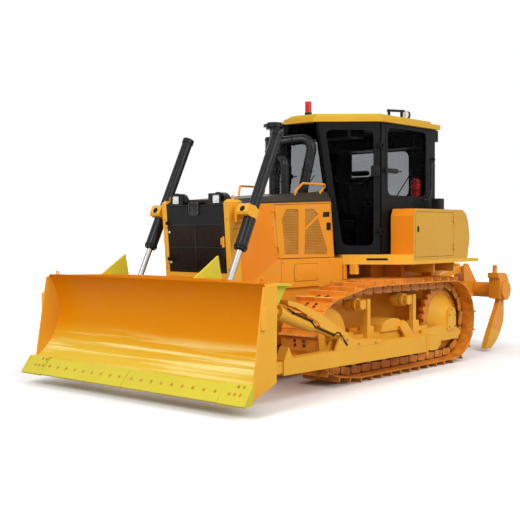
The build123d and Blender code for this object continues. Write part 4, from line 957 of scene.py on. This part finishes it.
def makeHoodDetail():
    side = hoodSetup["side"]
    cover = rounded(hoodSetup["cover"], 26, 5)
    addPiece("cover_plates", *mirrored(onSide(cover, side, 1.5, 6, 2)), "machine", paint, slot="paint")
    lines = [onSide(inset(counterwise(cover), -4), side, 0, 2, 0.5)]
    lines += [strip(a, b, x) for a, b, x in hoodSetup["seams"]]
    addPiece("hood_seams", *mirrored(joined(lines)), "machine", seamDark)
    corners = [(side + 6, y, z) for y in hoodSetup["coverBolts"][0] for z in hoodSetup["coverBolts"][1]]
    flat = [(side, y, z) for y, z in hoodSetup["doorBolts"] + hoodSetup["panelBolts"]]
    heads = joined([repeated(hexBolt(15, 7), flat, (1, 0, 0)), repeated(hexBolt(13, 6), corners, (1, 0, 0))])
    addPiece("hood_bolts", *mirrored(heads), "machine", boltPaint, slot="paint")

    y0, y1, z0, z1 = hoodSetup["latch"]
    latch = joined([onSide(rounded(rectangle(y0, y1, z0, z1), 20, 5), side, 0, 9, 3),
                    onSide(rounded(rectangle(y0 + 24, y1 - 24, z0 + 24, z1 - 30), 8, 4), side, 8, 15, 3),
                    lathe([(9, 0), (9, 7), (6, 8)], (side + 8, (y0 + y1) / 2, z1 - 18), (1, 0, 0), 16)])
    badge = onSide(rounded(hoodSetup["badge"], 8, 4), side, 0, 3, 1)
    for word, turn in (("left", lambda shape: shape), ("right", flipped)):
        addPiece("door_plate_" + word, *turn(badge), "engine_door_" + word, blackPaint)
        addPiece("door_latch_" + word, *turn(latch), "engine_door_" + word, satinBlack)

    lean = grilleSetup["lean"]
    eye = joined([torus(hoodSetup["liftingEye"], (0, 1, 0.1), *hoodSetup["eyeSize"]),
                  box(*hoodSetup["eyeFoot"], 3)])
    addPiece("lifting_eyes", *mirrored(eye), "machine", brightPaint, slot="paint")
    x, *heights = hoodSetup["columnBolts"]
    heads = repeated(hexBolt(18, 8), [grillePoint(x, z, 0.5) for z in heights], (0, -1, -lean))
    addPiece("column_bolts", *mirrored(heads), "machine", boltPaint, slot="paint")


makeHoodDetail()

# Side boxes and deck: latch, step strip, filler cap, handles, black boxes

deckSetup = {
    "side": 1195,                          # x of the side boxes' outer face
    "latch": (463, 497, 1696, 1766),
    "slant": ((500, -125), (1195, 375)),   # the deck's slanted front edge, in plan
    "step": (0.34, 0.64),                  # shares of that edge
    "stepRise": (1352, 1376),
    "capPlace": (-300, 1570, 1960),
    "cap": ((62, 0), (62, 14), (55, 16), (55, 30), (48, 38), (20, 41)),   # radius and height
    "handle": ((832, 1440, 2655), (868, 1425, 2645), (868, 1335, 2580), (868, 1325, 2200),
               (868, 1262, 2120), (832, 1196, 2102)),
    "boxes": (((892, 1292, 1980), (1010, 1420, 2128), 10), ((560, 1500, 1958), (700, 1620, 2082), 10),
              ((880, 1280, 1978), (1022, 1432, 1990), 3)),                # two corners and the edge
}


def makeDeckDetail():
    side = deckSetup["side"]
    y0, y1, z0, z1 = deckSetup["latch"]
    latch = joined([onSide(rounded(rectangle(y0, y1, z0, z1), 8, 4), side, 0, 7, 2),
                    onSide(rounded(rectangle(y0 + 8, y1 - 8, z0 + 16, z1 - 16), 4, 3), side, 6, 11, 2)])
    addPiece("box_latch", *latch, "side_box_door", satinBlack)

    a, b = np.array(deckSetup["slant"], float)
    way = (b - a) / np.hypot(*(b - a))
    first, last = (a + (b - a) * share for share in deckSetup["step"])
    pad = rounded(rectangle(0, np.hypot(*(last - first)), *deckSetup["stepRise"]), 8, 4)
    step = plate(pad, (first[0], first[1], 0), (way[0], way[1], 0), (0, 0, 1), 0, 7, 2)
    addPiece("step_pads", *mirrored(step), "machine", rubber)

    x, y, z = deckSetup["capPlace"]
    cap = joined([lathe(deckSetup["cap"], (x, y, z), (0, 0, 1), 24), torus((x, y, z + 42), (1, 0, 0), 14, 5)])
    addPiece("filler_cap", *cap, "machine", satinBlack)
    handle = tube(smoothPath(deckSetup["handle"], 60), 13, 12)
    addPiece("rear_handles", *mirrored(handle), "machine", blackPaint)
    boxes = joined([box(low, high, soft) for low, high, soft in deckSetup["boxes"]])
    addPiece("battery_boxes", *boxes, "machine", satinBlack)


makeDeckDetail()
print("hood, grille and deck finished")

# Cab: window seals, door fittings, mirror, inner dark parts

cabSetup = {
    "half": 830, "bend": 219, "floor": 1420,   # x and y of the door's hinge post, and the door's foot
    "door": (-585.0, -519.0),         # the door's way forward from its hinge post, x and y
    "pane": ((75, 90), (493, 90), (704, 1540), (75, 1540)),   # run along the door, height on it
    "paneRound": 105, "sealWidth": 20,
    "handle": ((18, 950), (128, 950), (128, 1085), (60, 1095), (18, 1070)),
    "handleTop": (40, 105, 985, 1050),
    "bar": ((560, 960, -6), (540, 862, -28), (220, 862, -28), (130, 950, -28), (110, 975, -6)),
    "quarter": (322, 1298, 2117, 3036),
    "quarterHole": ((362, 2150), (1252, 2150), (1262, 2985), (362, 2985)), "quarterRound": 100,
    "rear": (-768, 768, 2152, 2978), "rearHole": (-440, 640, 2165, 2785), "rearRound": 110, "rearY": 1478,
    "stay": ((285, 2424), (560, 2420), (560, 2478), (285, 2482)),
    "stayRod": ((846, 555, 2450), (846, 600, 2450), (846, 655, 2452)),
    "mirror": ((268, 2288), (382, 2288), (372, 2552), (262, 2552)), "mirrorY": -168,
    "mirrorArm": ((320, -178, 2550), (320, -180, 2700), (260, -190, 2900), (250, -190, 3010)),
}
doorWay = np.array(cabSetup["door"]) / np.hypot(*cabSetup["door"])
doorPlace = (cabSetup["half"], cabSetup["bend"], cabSetup["floor"])


def onDoor(outline, low, high, soft=2.0):
    # the left door's plane, with the run from the hinge post taken backwards so that it faces out
    flat = [(-run, rise) for run, rise in outline]
    return plate(flat, doorPlace, (-doorWay[0], -doorWay[1], 0), (0, 0, 1), low, high, soft)


def doorPoint(run, rise, out):
    # post + way run + height rise + outward out
    x, y, z = doorPlace
    return np.array([x + doorWay[0] * run - doorWay[1] * out,
                     y + doorWay[1] * run + doorWay[0] * out, z + rise])


def bothDoors(name, shape, material):
    addPiece(name + "_left", *shape, "cab_door_left", material)
    addPiece(name + "_right", *flipped(shape), "cab_door_right", material)


def makeCabOutside():
    flat = np.array([(-run, rise) for run, rise in cabSetup["pane"]], float)
    outer = counterwise(rounded(flat, 4, 8))
    inner = inset(counterwise(rounded(flat, cabSetup["paneRound"], 8)), cabSetup["sealWidth"])
    seal = frameRing(outer, inner, doorPlace, (-doorWay[0], -doorWay[1], 0), (0, 0, 1), 9, 34)
    bothDoors("door_seal", seal, rubber)
    latch = joined([onDoor(rounded(cabSetup["handle"], 22, 5), 30, 52, 6),
                    onDoor(rounded(rectangle(*cabSetup["handleTop"]), 14, 4), 50, 62, 5)])
    bothDoors("door_handle", latch, satinBlack)
    bar = tube(smoothPath([doorPoint(*spot) for spot in cabSetup["bar"]], 70), 11, 10)
    bothDoors("door_bar", bar, blackPaint)

    outer = counterwise(rounded(rectangle(*cabSetup["quarter"]), 3, 8))
    inner = counterwise(rounded(cabSetup["quarterHole"], cabSetup["quarterRound"], 8))
    ring = frameRing(outer, inner, (cabSetup["half"], 0, 0), (0, 1, 0), (0, 0, 1), -12, 3)
    addPiece("quarter_seals", *mirrored(ring), "machine", rubber)
    outer = counterwise(rounded(rectangle(*cabSetup["rear"]), 3, 8))
    inner = counterwise(rounded(rectangle(*cabSetup["rearHole"]), cabSetup["rearRound"], 8))
    ring = frameRing(outer, inner, (0, cabSetup["rearY"], 0), (-1, 0, 0), (0, 0, 1), -20, 10)
    addPiece("rear_window_frame", *ring, "machine", rubber)

    stay = joined([onSide(rounded(cabSetup["stay"], 14, 4), cabSetup["half"], 0, 30, 6),
                   tube(cabSetup["stayRod"], 8, 8)])
    addPiece("door_stays", *mirrored(stay), "machine", satinBlack)
    mirror = joined([plate(rounded(cabSetup["mirror"], 30, 6), (0, cabSetup["mirrorY"], 0),
                           (1, 0, 0), (0, 0, 1), 0, 26, 8),
                     tube(smoothPath(cabSetup["mirrorArm"], 60), 9, 8)])
    addPiece("inner_mirrors", *mirrored(mirror), "machine", satinBlack)


insideSetup = {
    "lining": ((-215, -230), (215, -230), (765, 245), (765, 1440), (-765, 1440), (-765, 245)),
    "liningRise": (2985, 3037),
    "ducts": (((-700, 1180, 2800), (700, 1440, 2990)), ((-560, -60, 2860), (560, 260, 2990))),
    "dash": ((66, 1448), (66, 2030), (104, 2108), (160, 2108), (196, 1960), (170, 1700), (196, 1448)),
    "dashHalf": 285,
    "hood": ((80, 2090), (90, 2180), (150, 2190), (215, 2110), (190, 2080)), "hoodHalf": 190,
    "console": ((452, 1446), (1000, 1446), (1000, 1960), (940, 2010), (560, 2040), (470, 2010)),
    "consoleX": 360, "consoleHalf": 58,
    "rest": ((590, 2032), (960, 2010), (965, 2062), (590, 2078)), "restHalf": 45,
    "boot": ((46, 0), (44, 14), (30, 30), (26, 44), (14, 60)), "bootPlace": (360, 520, 2020),
    "stick": ((360, 520, 2070), (360, 512, 2120), (360, 500, 2165)),
    "knob": ((14, 0), (24, 16), (27, 44), (24, 70), (12, 84)), "knobPlace": (360, 500, 2150),
    "seatBase": ((-230, 540, 1446), (230, 960, 1692), 24),       # two corners and the edge
    "pillar": ((-700, 1376, 2152), (-470, 1440, 2800), 20),
    "cabinet": ((-690, 1100, 1446), (690, 1440, 2130), 20),
    "strut": ((796, 591, 2122), (796, 790, 2300), (796, 986, 2485)),
}


def inCab(outline, soft, steps, x, half, edge):
    # a side outline as thick as two halves, round a plane at x
    return plate(rounded(outline, soft, steps), (x, 0, 0), (0, 1, 0), (0, 0, 1), -half, half, edge)


def makeCabInside():
    s = insideSetup
    lining = plate(rounded(s["lining"], 40, 4), (0, 0, 0), (1, 0, 0), (0, 1, 0), *s["liningRise"], 4)
    ducts = [box(low, high, 30) for low, high in s["ducts"]]
    addPiece("cab_lining", *joined([lining] + ducts), "machine", cabPaint)
    dash = inCab(s["dash"], 22, 4, 0, s["dashHalf"], 12)
    hood = inCab(s["hood"], 20, 4, 0, s["hoodHalf"], 12)
    side = inCab(s["console"], 50, 5, s["consoleX"], s["consoleHalf"], 14)
    rest = inCab(s["rest"], 22, 4, s["consoleX"], s["restHalf"], 12)
    lever = joined([lathe(s["boot"], s["bootPlace"], (0, 0, 1), 20), tube(smoothPath(s["stick"], 20), 9, 10),
                    lathe(s["knob"], s["knobPlace"], (0, -0.15, 1), 20)])
    blocks = [box(*s[name]) for name in ("seatBase", "pillar", "cabinet")]
    addPiece("cab_console", *joined([dash, hood, mirrored(joined([side, rest, lever]))] + blocks),
             "machine", satinBlack)
    addPiece("wiper_struts", *mirrored(tube(s["strut"], 7, 8)), "machine", blackPaint)


bottleSetup = {
    "place": (700, 1225, 2150),
    "bottle": ((58, 0), (66, 6), (67, 20), (67, 190), (60, 222), (38, 240), (22, 246)),   # radius, height
    "neck": ((22, 0), (22, 26), (12, 30)), "neckRise": 244,
    "handle": ((700, 1215, 2415), (700, 1170, 2432), (700, 1140, 2445)),
    "spout": ((700, 1235, 2412), (712, 1290, 2400), (716, 1300, 2300), (716, 1298, 2220)),
    "bands": (80, 190), "bandSize": (68, 5),
    "foot": ((690, 1150, 2128), (715, 1300, 2152), 4),
}


def makeExtinguisher():
    s = bottleSetup
    x, y, z = s["place"]
    addPiece("extinguisher", *lathe(s["bottle"], s["place"], (0, 0, 1), 28), "machine", redLens, slot="lamp")
    fittings = [lathe(s["neck"], (x, y, z + s["neckRise"]), (0, 0, 1), 16),
                tube(smoothPath(s["handle"], 10), 8, 8), tube(smoothPath(s["spout"], 30), 8, 8)]
    fittings += [torus((x, y, z + rise), (0, 0, 1), *s["bandSize"]) for rise in s["bands"]]
    addPiece("extinguisher_fittings", *joined(fittings + [box(*s["foot"])]), "machine", satinBlack)


makeCabOutside()
makeCabInside()
makeExtinguisher()

# Seat: crowned cushions in place of the plain block

seatSetup = {
    "cushion": ((-235, 505, 1706), (235, 985, 1842)),
    "back": ((-232, 905, 1856), (232, 1012, 2440)),
    "head": ((-140, 915, 2452), (140, 1005, 2498)),
    "grid": 26,
    "rim": 0.25,                          # thickness left at the edge
    "channel": (0.62, 0.05, 0.10),        # sewn channels: place, width and depth, as shares
    "waist": 0.03,
    "weld": 0.0004, "skin": 0.006,        # metres
    "pressure": 4.0, "steps": 20,
    "swell": 0.011,                       # the most a point moves
    "fill": 0.7,
}


def pillow(low, high, thin):
    # point(u, v) on both faces: half the thickness times ((1-u^8)(1-v^8))^0.3, drawn in between corners
    low, high = np.array(low, float), np.array(high, float)
    middle, half = (low + high) / 2, (high - low) / 2
    wide = [i for i in range(3) if i != thin]
    n, rim = seatSetup["grid"], seatSetup["rim"]
    place, width, depth = seatSetup["channel"]
    u, v = np.meshgrid(np.linspace(-1, 1, n), np.linspace(-1, 1, n), indexing="ij")
    crown = (np.clip(1 - u ** 8, 0, 1) * np.clip(1 - v ** 8, 0, 1)) ** 0.3
    seam = 1 - depth * np.exp(-((np.abs(u) - place) / width) ** 2) * (np.abs(v) < 0.9)
    waist = 1 - seatSetup["waist"] * (1 - np.abs(v) ** 2) * (np.abs(u) > 0.9)
    sides = []
    for face in (1, -1):
        points = np.zeros((n, n, 3))
        points[..., wide[0]] = middle[wide[0]] + half[wide[0]] * u * waist
        points[..., wide[1]] = middle[wide[1]] + half[wide[1]] * v
        points[..., thin] = middle[thin] + face * half[thin] * (rim + (1 - rim) * crown * seam) * (crown > 0)
        sides.append(points)
    index = np.arange(n * n).reshape(n, n)
    quads = np.stack([index[:-1, :-1], index[1:, :-1], index[1:, 1:], index[:-1, 1:]], -1).reshape(-1, 4)
    turn = 1 if thin == 2 else -1
    upper = quads[:, ::turn]
    edge = np.concatenate([index[:, 0], index[-1, 1:], index[-2::-1, -1], index[0, -2:0:-1]])
    after = np.roll(edge, -1)
    wall = np.stack([edge, after, after + n * n, edge + n * n], -1)[:, ::-turn]
    faces = np.concatenate([upper, quads[:, ::-turn] + n * n, wall]).tolist()
    return np.concatenate([sides[0].reshape(-1, 3), sides[1].reshape(-1, 3)]), faces


def coordinates(mesh):
    flat = np.zeros(len(mesh.vertices) * 3)
    mesh.vertices.foreach_get("co", flat)
    return flat.reshape(-1, 3)


def puffUp(piece):
    # cloth blown up by an even pressure: point = before + move min(1, swell / |move|)
    skin = piece.modifiers.new("skin", "REMESH")
    skin.mode, skin.voxel_size = "VOXEL", seatSetup["skin"]
    depsgraph = bpy.context.evaluated_depsgraph_get()
    piece.data = bpy.data.meshes.new_from_object(piece.evaluated_get(depsgraph))
    piece.modifiers.clear()
    before = coordinates(piece.data)
    cloth = piece.modifiers.new("cloth", "CLOTH")
    cloth.settings.use_pressure = True
    cloth.settings.uniform_pressure_force = seatSetup["pressure"]
    cloth.settings.effector_weights.gravity = 0
    for step in range(1, seatSetup["steps"] + 1):
        scene.frame_set(step)
    depsgraph = bpy.context.evaluated_depsgraph_get()
    swollen = bpy.data.meshes.new_from_object(piece.evaluated_get(depsgraph))
    move = coordinates(swollen) - before
    reach = np.linalg.norm(move, axis=1, keepdims=True)
    after = before + move * np.minimum(1, seatSetup["swell"] / np.maximum(reach, 1e-9))
    piece.modifiers.clear()
    piece.data.vertices.foreach_set("co", after.ravel())
    piece.data.polygons.foreach_set("use_smooth", np.ones(len(piece.data.polygons), bool))
    piece.data.update()
    scene.frame_set(1)


def makeSeat():
    for name, thin in (("cushion", 2), ("back", 1), ("head", 1)):
        points, faces = pillow(*seatSetup[name], thin)
        piece = addPiece("seat_" + name, points, faces, "machine", seatCloth, slot="seat")
        mesh = piece.data
        form = bmesh.new()
        form.from_mesh(mesh)
        bmesh.ops.remove_doubles(form, verts=form.verts, dist=seatSetup["weld"])
        bmesh.ops.recalc_face_normals(form, faces=form.faces)
        form.to_mesh(mesh)
        form.free()
        puffUp(piece)
        soften = piece.modifiers.new("soften", "SUBSURF")
        soften.levels = soften.render_levels = 1
        if name == "cushion":
            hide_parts("cab_seat")


makeSeat()

# Roof, air cleaner and exhaust

roofSetup = {
    "bolts": ((-600, 420), (600, 420), (-600, 1280), (600, 1280), (0, 860)), "top": 3145,
    "bracket": ((556, 3206), (936, 3232), (940, 3262), (556, 3236)), "bracketX": 700,
    "feet": ((590, 3218), (880, 3240)), "footLow": 3142,     # y and top of each foot
    "beacon": (0, -160), "ribs": (3215, 3245, 3275, 3305), "ribSize": (40, 2),
    "stack": (-150, -640), "bands": (2500, 2680, 2820),
    "band": ((105, -14), (112, -14), (117, -12), (117, 12), (112, 14), (105, 14)),   # radius and run
    "clamps": (((62, -540, 2808), (410, 190, 45), 62), ((230, -478, 2440), (-130, -90, -735), 62),
               ((188, -508, 2200), (-130, -90, -735), 62), ((96, -738, 2300), (0, 0, 1), 52)),
    "clamp": ((-6, -12), (0, -12), (5, -10), (5, 10), (0, 12), (-6, 12)),   # past the pipe's radius, run
}


def makeRoofDetail():
    s = roofSetup
    heads = repeated(hexBolt(22, 14), [(x, y, s["top"]) for x, y in s["bolts"]], (0, 0, 1))
    addPiece("roof_bolts", *heads, "machine", zinc)
    x, low = s["bracketX"], s["footLow"]
    bracket = [plate(rounded(s["bracket"], 8, 3), (x, 0, 0), (0, 1, 0), (0, 0, 1), -11, 11, 3)]
    bracket += [box((x - 14, y - 14, low), (x + 14, y + 14, top), 4) for y, top in s["feet"]]
    addPiece("lamp_brackets", *mirrored(joined(bracket)), "machine", satinBlack)
    ribs = [torus((*s["beacon"], z), (0, 0, 1), *s["ribSize"]) for z in s["ribs"]]
    addPiece("beacon_ribs", *joined(ribs), "machine", redLens, slot="lamp")
    pipes = [lathe(s["band"], (*s["stack"], z), (0, 0, 1), 32, ring=True) for z in s["bands"]]
    pipes += [lathe([(r + past, run) for past, run in s["clamp"]], at, axis, 28, ring=True)
              for at, axis, r in s["clamps"]]
    addPiece("pipe_bands", *joined(pipes), "machine", satinBlack)


makeRoofDetail()
print("cab finished")

# Push arms and blade corners: bolts, tabs, hooks and the clipped tilt line

armSetup = {
    "bolts": ((1452, -1340, 558), (1452, -1130, 500), (1452, -811, 487)),
    "pin": (1452, -1430, 590), "pinHead": ((30, 0), (30, 7), (24, 12), (10, 12)),
    "driveX": 1136, "driveBolts": ((1340, 470), (1340, 620), (1480, 470), (1480, 620), (1400, 690)),
    "tab": ((1658, -2965, 800), (1686, -2905, 1010), 5),      # two corners and the edge
    "hook": ((1560, -2830, 1236), (22, 7)),
    "hoseX": 1460,
    "hose": ((-2330, 945), (-2246, 903), (-1953, 795), (-1901, 734), (-1590, 627), (-1522, 655),
             (-1480, 634), (-1345, 500)),
    "clips": (1, 2, 4, 6), "clipX": (1450, 1464), "clipHalf": (12, 14),   # at these points of the hose
}


def makeArmDetail():
    s = armSetup
    heads = joined([repeated(hexBolt(26, 13), s["bolts"], (1, 0, 0)),
                    lathe(s["pinHead"], s["pin"], (1, 0, 0), 24)])
    addPiece("arm_bolts", *mirrored(heads), "blade", boltPaint, slot="edge")
    addPiece("blade_tabs", *mirrored(box(*s["tab"])), "blade", brightPaint, slot="paint")
    at, size = s["hook"]
    addPiece("blade_hooks", *mirrored(torus(at, (0, 1, 0), *size)), "blade", bladePaint, slot="paint")
    line = tube(smoothPath([(s["hoseX"], y, z) for y, z in s["hose"]], 30), 8, 10)
    (near, far), (wide, tall) = s["clipX"], s["clipHalf"]
    clips = [box((near, y - wide, z - tall), (far, y + wide, z + tall), 3)
             for y, z in (s["hose"][i] for i in s["clips"])]
    addPiece("tilt_hoses", *mirrored(joined([line] + clips)), "blade", rubber)
    heads = repeated(hexBolt(22, 11), [(s["driveX"], y, z) for y, z in s["driveBolts"]], (1, 0, 0))
    addPiece("drive_bolts", *mirrored(heads), "machine", boltPaint, slot="track")


# Ripper: worn tips on the shanks, pins through the beam's pockets

ripperSetup = {
    "shanks": (-930, 0, 930),         # x of each shank
    "tip": ((2792, 322), (2638, 53), (2664, 42), (2793, 38), (2966, 138), (3062, 232), (2925, 296)),
    "tipHalf": 38,
    "pin": (85, 3150, 960), "pinHead": ((34, 0), (34, 8), (26, 13), (10, 13)),
}


def makeRipperDetail():
    s = ripperSetup
    tips = [onSide(s["tip"], x, -s["tipHalf"], s["tipHalf"], 2) for x in s["shanks"]]
    addPiece("shank_tips", *joined(tips), "ripper_beam", brightPaint, slot="edge")
    aside, y, z = s["pin"]
    both = [(x, side) for x in s["shanks"] for side in (-1, 1)]
    pins = repeated(lathe(s["pinHead"], (0, 0, 0), (0, 0, 1), 20),
                    [(x + side * aside, y, z) for x, side in both], [(side, 0, 0) for x, side in both])
    addPiece("pocket_pins", *pins, "ripper_beam", boltPaint, slot="edge")


makeArmDetail()
makeRipperDetail()
print("arms and ripper finished")

# Floor, backdrop and light

studio = {
    "floor": 1.0, "bounce": 0.35, "world": 0.66,
    "near": 3.6, "far": 8.0,          # metres from the machine's middle
    "reach": 90, "cells": 8,          # the floor's half side and its cells
    "aim": (0, 0, 1.2),
    "lamps": (("key", (2, -13, 9), 6, 1000), ("fill", (9, -1, 7), 7, 550),
              ("rim", (-8, 6, 8), 7, 200)),   # place, side and power
}


def seenRay(tree):
    # 1 for what the camera sees, also in reflections and through glass
    ray = addNode(tree, "ShaderNodeLightPath")
    return calculate(tree, "MAXIMUM", calculate(tree, "MAXIMUM", ray.outputs["Is Camera Ray"],
                                                ray.outputs["Is Glossy Ray"]),
                     ray.outputs["Is Transmission Ray"])


def makeStudio():
    # the floor is a square grid: point(i, j) = reach (2 i / cells - 1, 2 j / cells - 1)
    reach, cells = studio["reach"], studio["cells"]
    side = np.linspace(-reach, reach, cells + 1)
    east, north = np.meshgrid(side, side)
    points = np.stack([east.ravel(), north.ravel(), np.zeros(east.size)], -1)
    corner = np.arange(east.size).reshape(east.shape)
    faces = np.stack([corner[:-1, :-1], corner[:-1, 1:], corner[1:, 1:], corner[1:, :-1]], -1)
    mesh = bpy.data.meshes.new("floor")
    mesh.from_pydata(points.tolist(), [], faces.reshape(-1, 4).tolist())
    floor = bpy.data.objects.new("floor", mesh)
    scene.collection.objects.link(floor)
    material, tree, shader = newMaterial("floor")
    tree.links.new(mixColour(tree, seenRay(tree), grey(studio["bounce"]), grey(studio["floor"])),
                   shader.inputs["Base Color"])
    shader.inputs["Roughness"].default_value = 1.0
    shader.inputs["Specular IOR Level"].default_value = 0.0
    # far from the machine the floor is white by itself: share = distance between near and far
    apart = addNode(tree, "ShaderNodeVectorMath", operation="LENGTH")
    tree.links.new(objectPlace(tree, (1, 1, 0)), apart.inputs[0])
    share = ramp(tree, calculate(tree, "DIVIDE", apart.outputs["Value"], studio["far"]),
                 [(studio["near"] / studio["far"], grey(0)), (1.0, grey(1))])
    shine = calculate(tree, "MULTIPLY", share, seenRay(tree))
    tree.links.new(shine, shader.inputs["Emission Strength"])
    shader.inputs["Emission Color"].default_value = (1, 1, 1, 1)
    mesh.materials.append(material)

    world = bpy.data.worlds.new("studio")
    scene.world = world
    world.use_nodes = True
    tree = world.node_tree
    background = tree.nodes["Background"]
    mix = addNode(tree, "ShaderNodeMix", data_type="FLOAT", in2=studio["world"], in3=1.0)
    tree.links.new(seenRay(tree), mix.inputs[0])
    background.inputs["Color"].default_value = (1, 1, 1, 1)
    tree.links.new(mix.outputs[0], background.inputs["Strength"])

    for name, place, size, power in studio["lamps"]:
        lamp = bpy.data.lights.new(name, "AREA")
        lamp.size, lamp.energy = size, power
        holder = bpy.data.objects.new(name, lamp)
        holder.location = place
        away = Vector(place) - Vector(studio["aim"])
        holder.rotation_euler = away.to_track_quat("Z", "Y").to_euler()
        scene.collection.objects.link(holder)
    scene.view_settings.view_transform = "Standard"


makeStudio()
print("studio made")
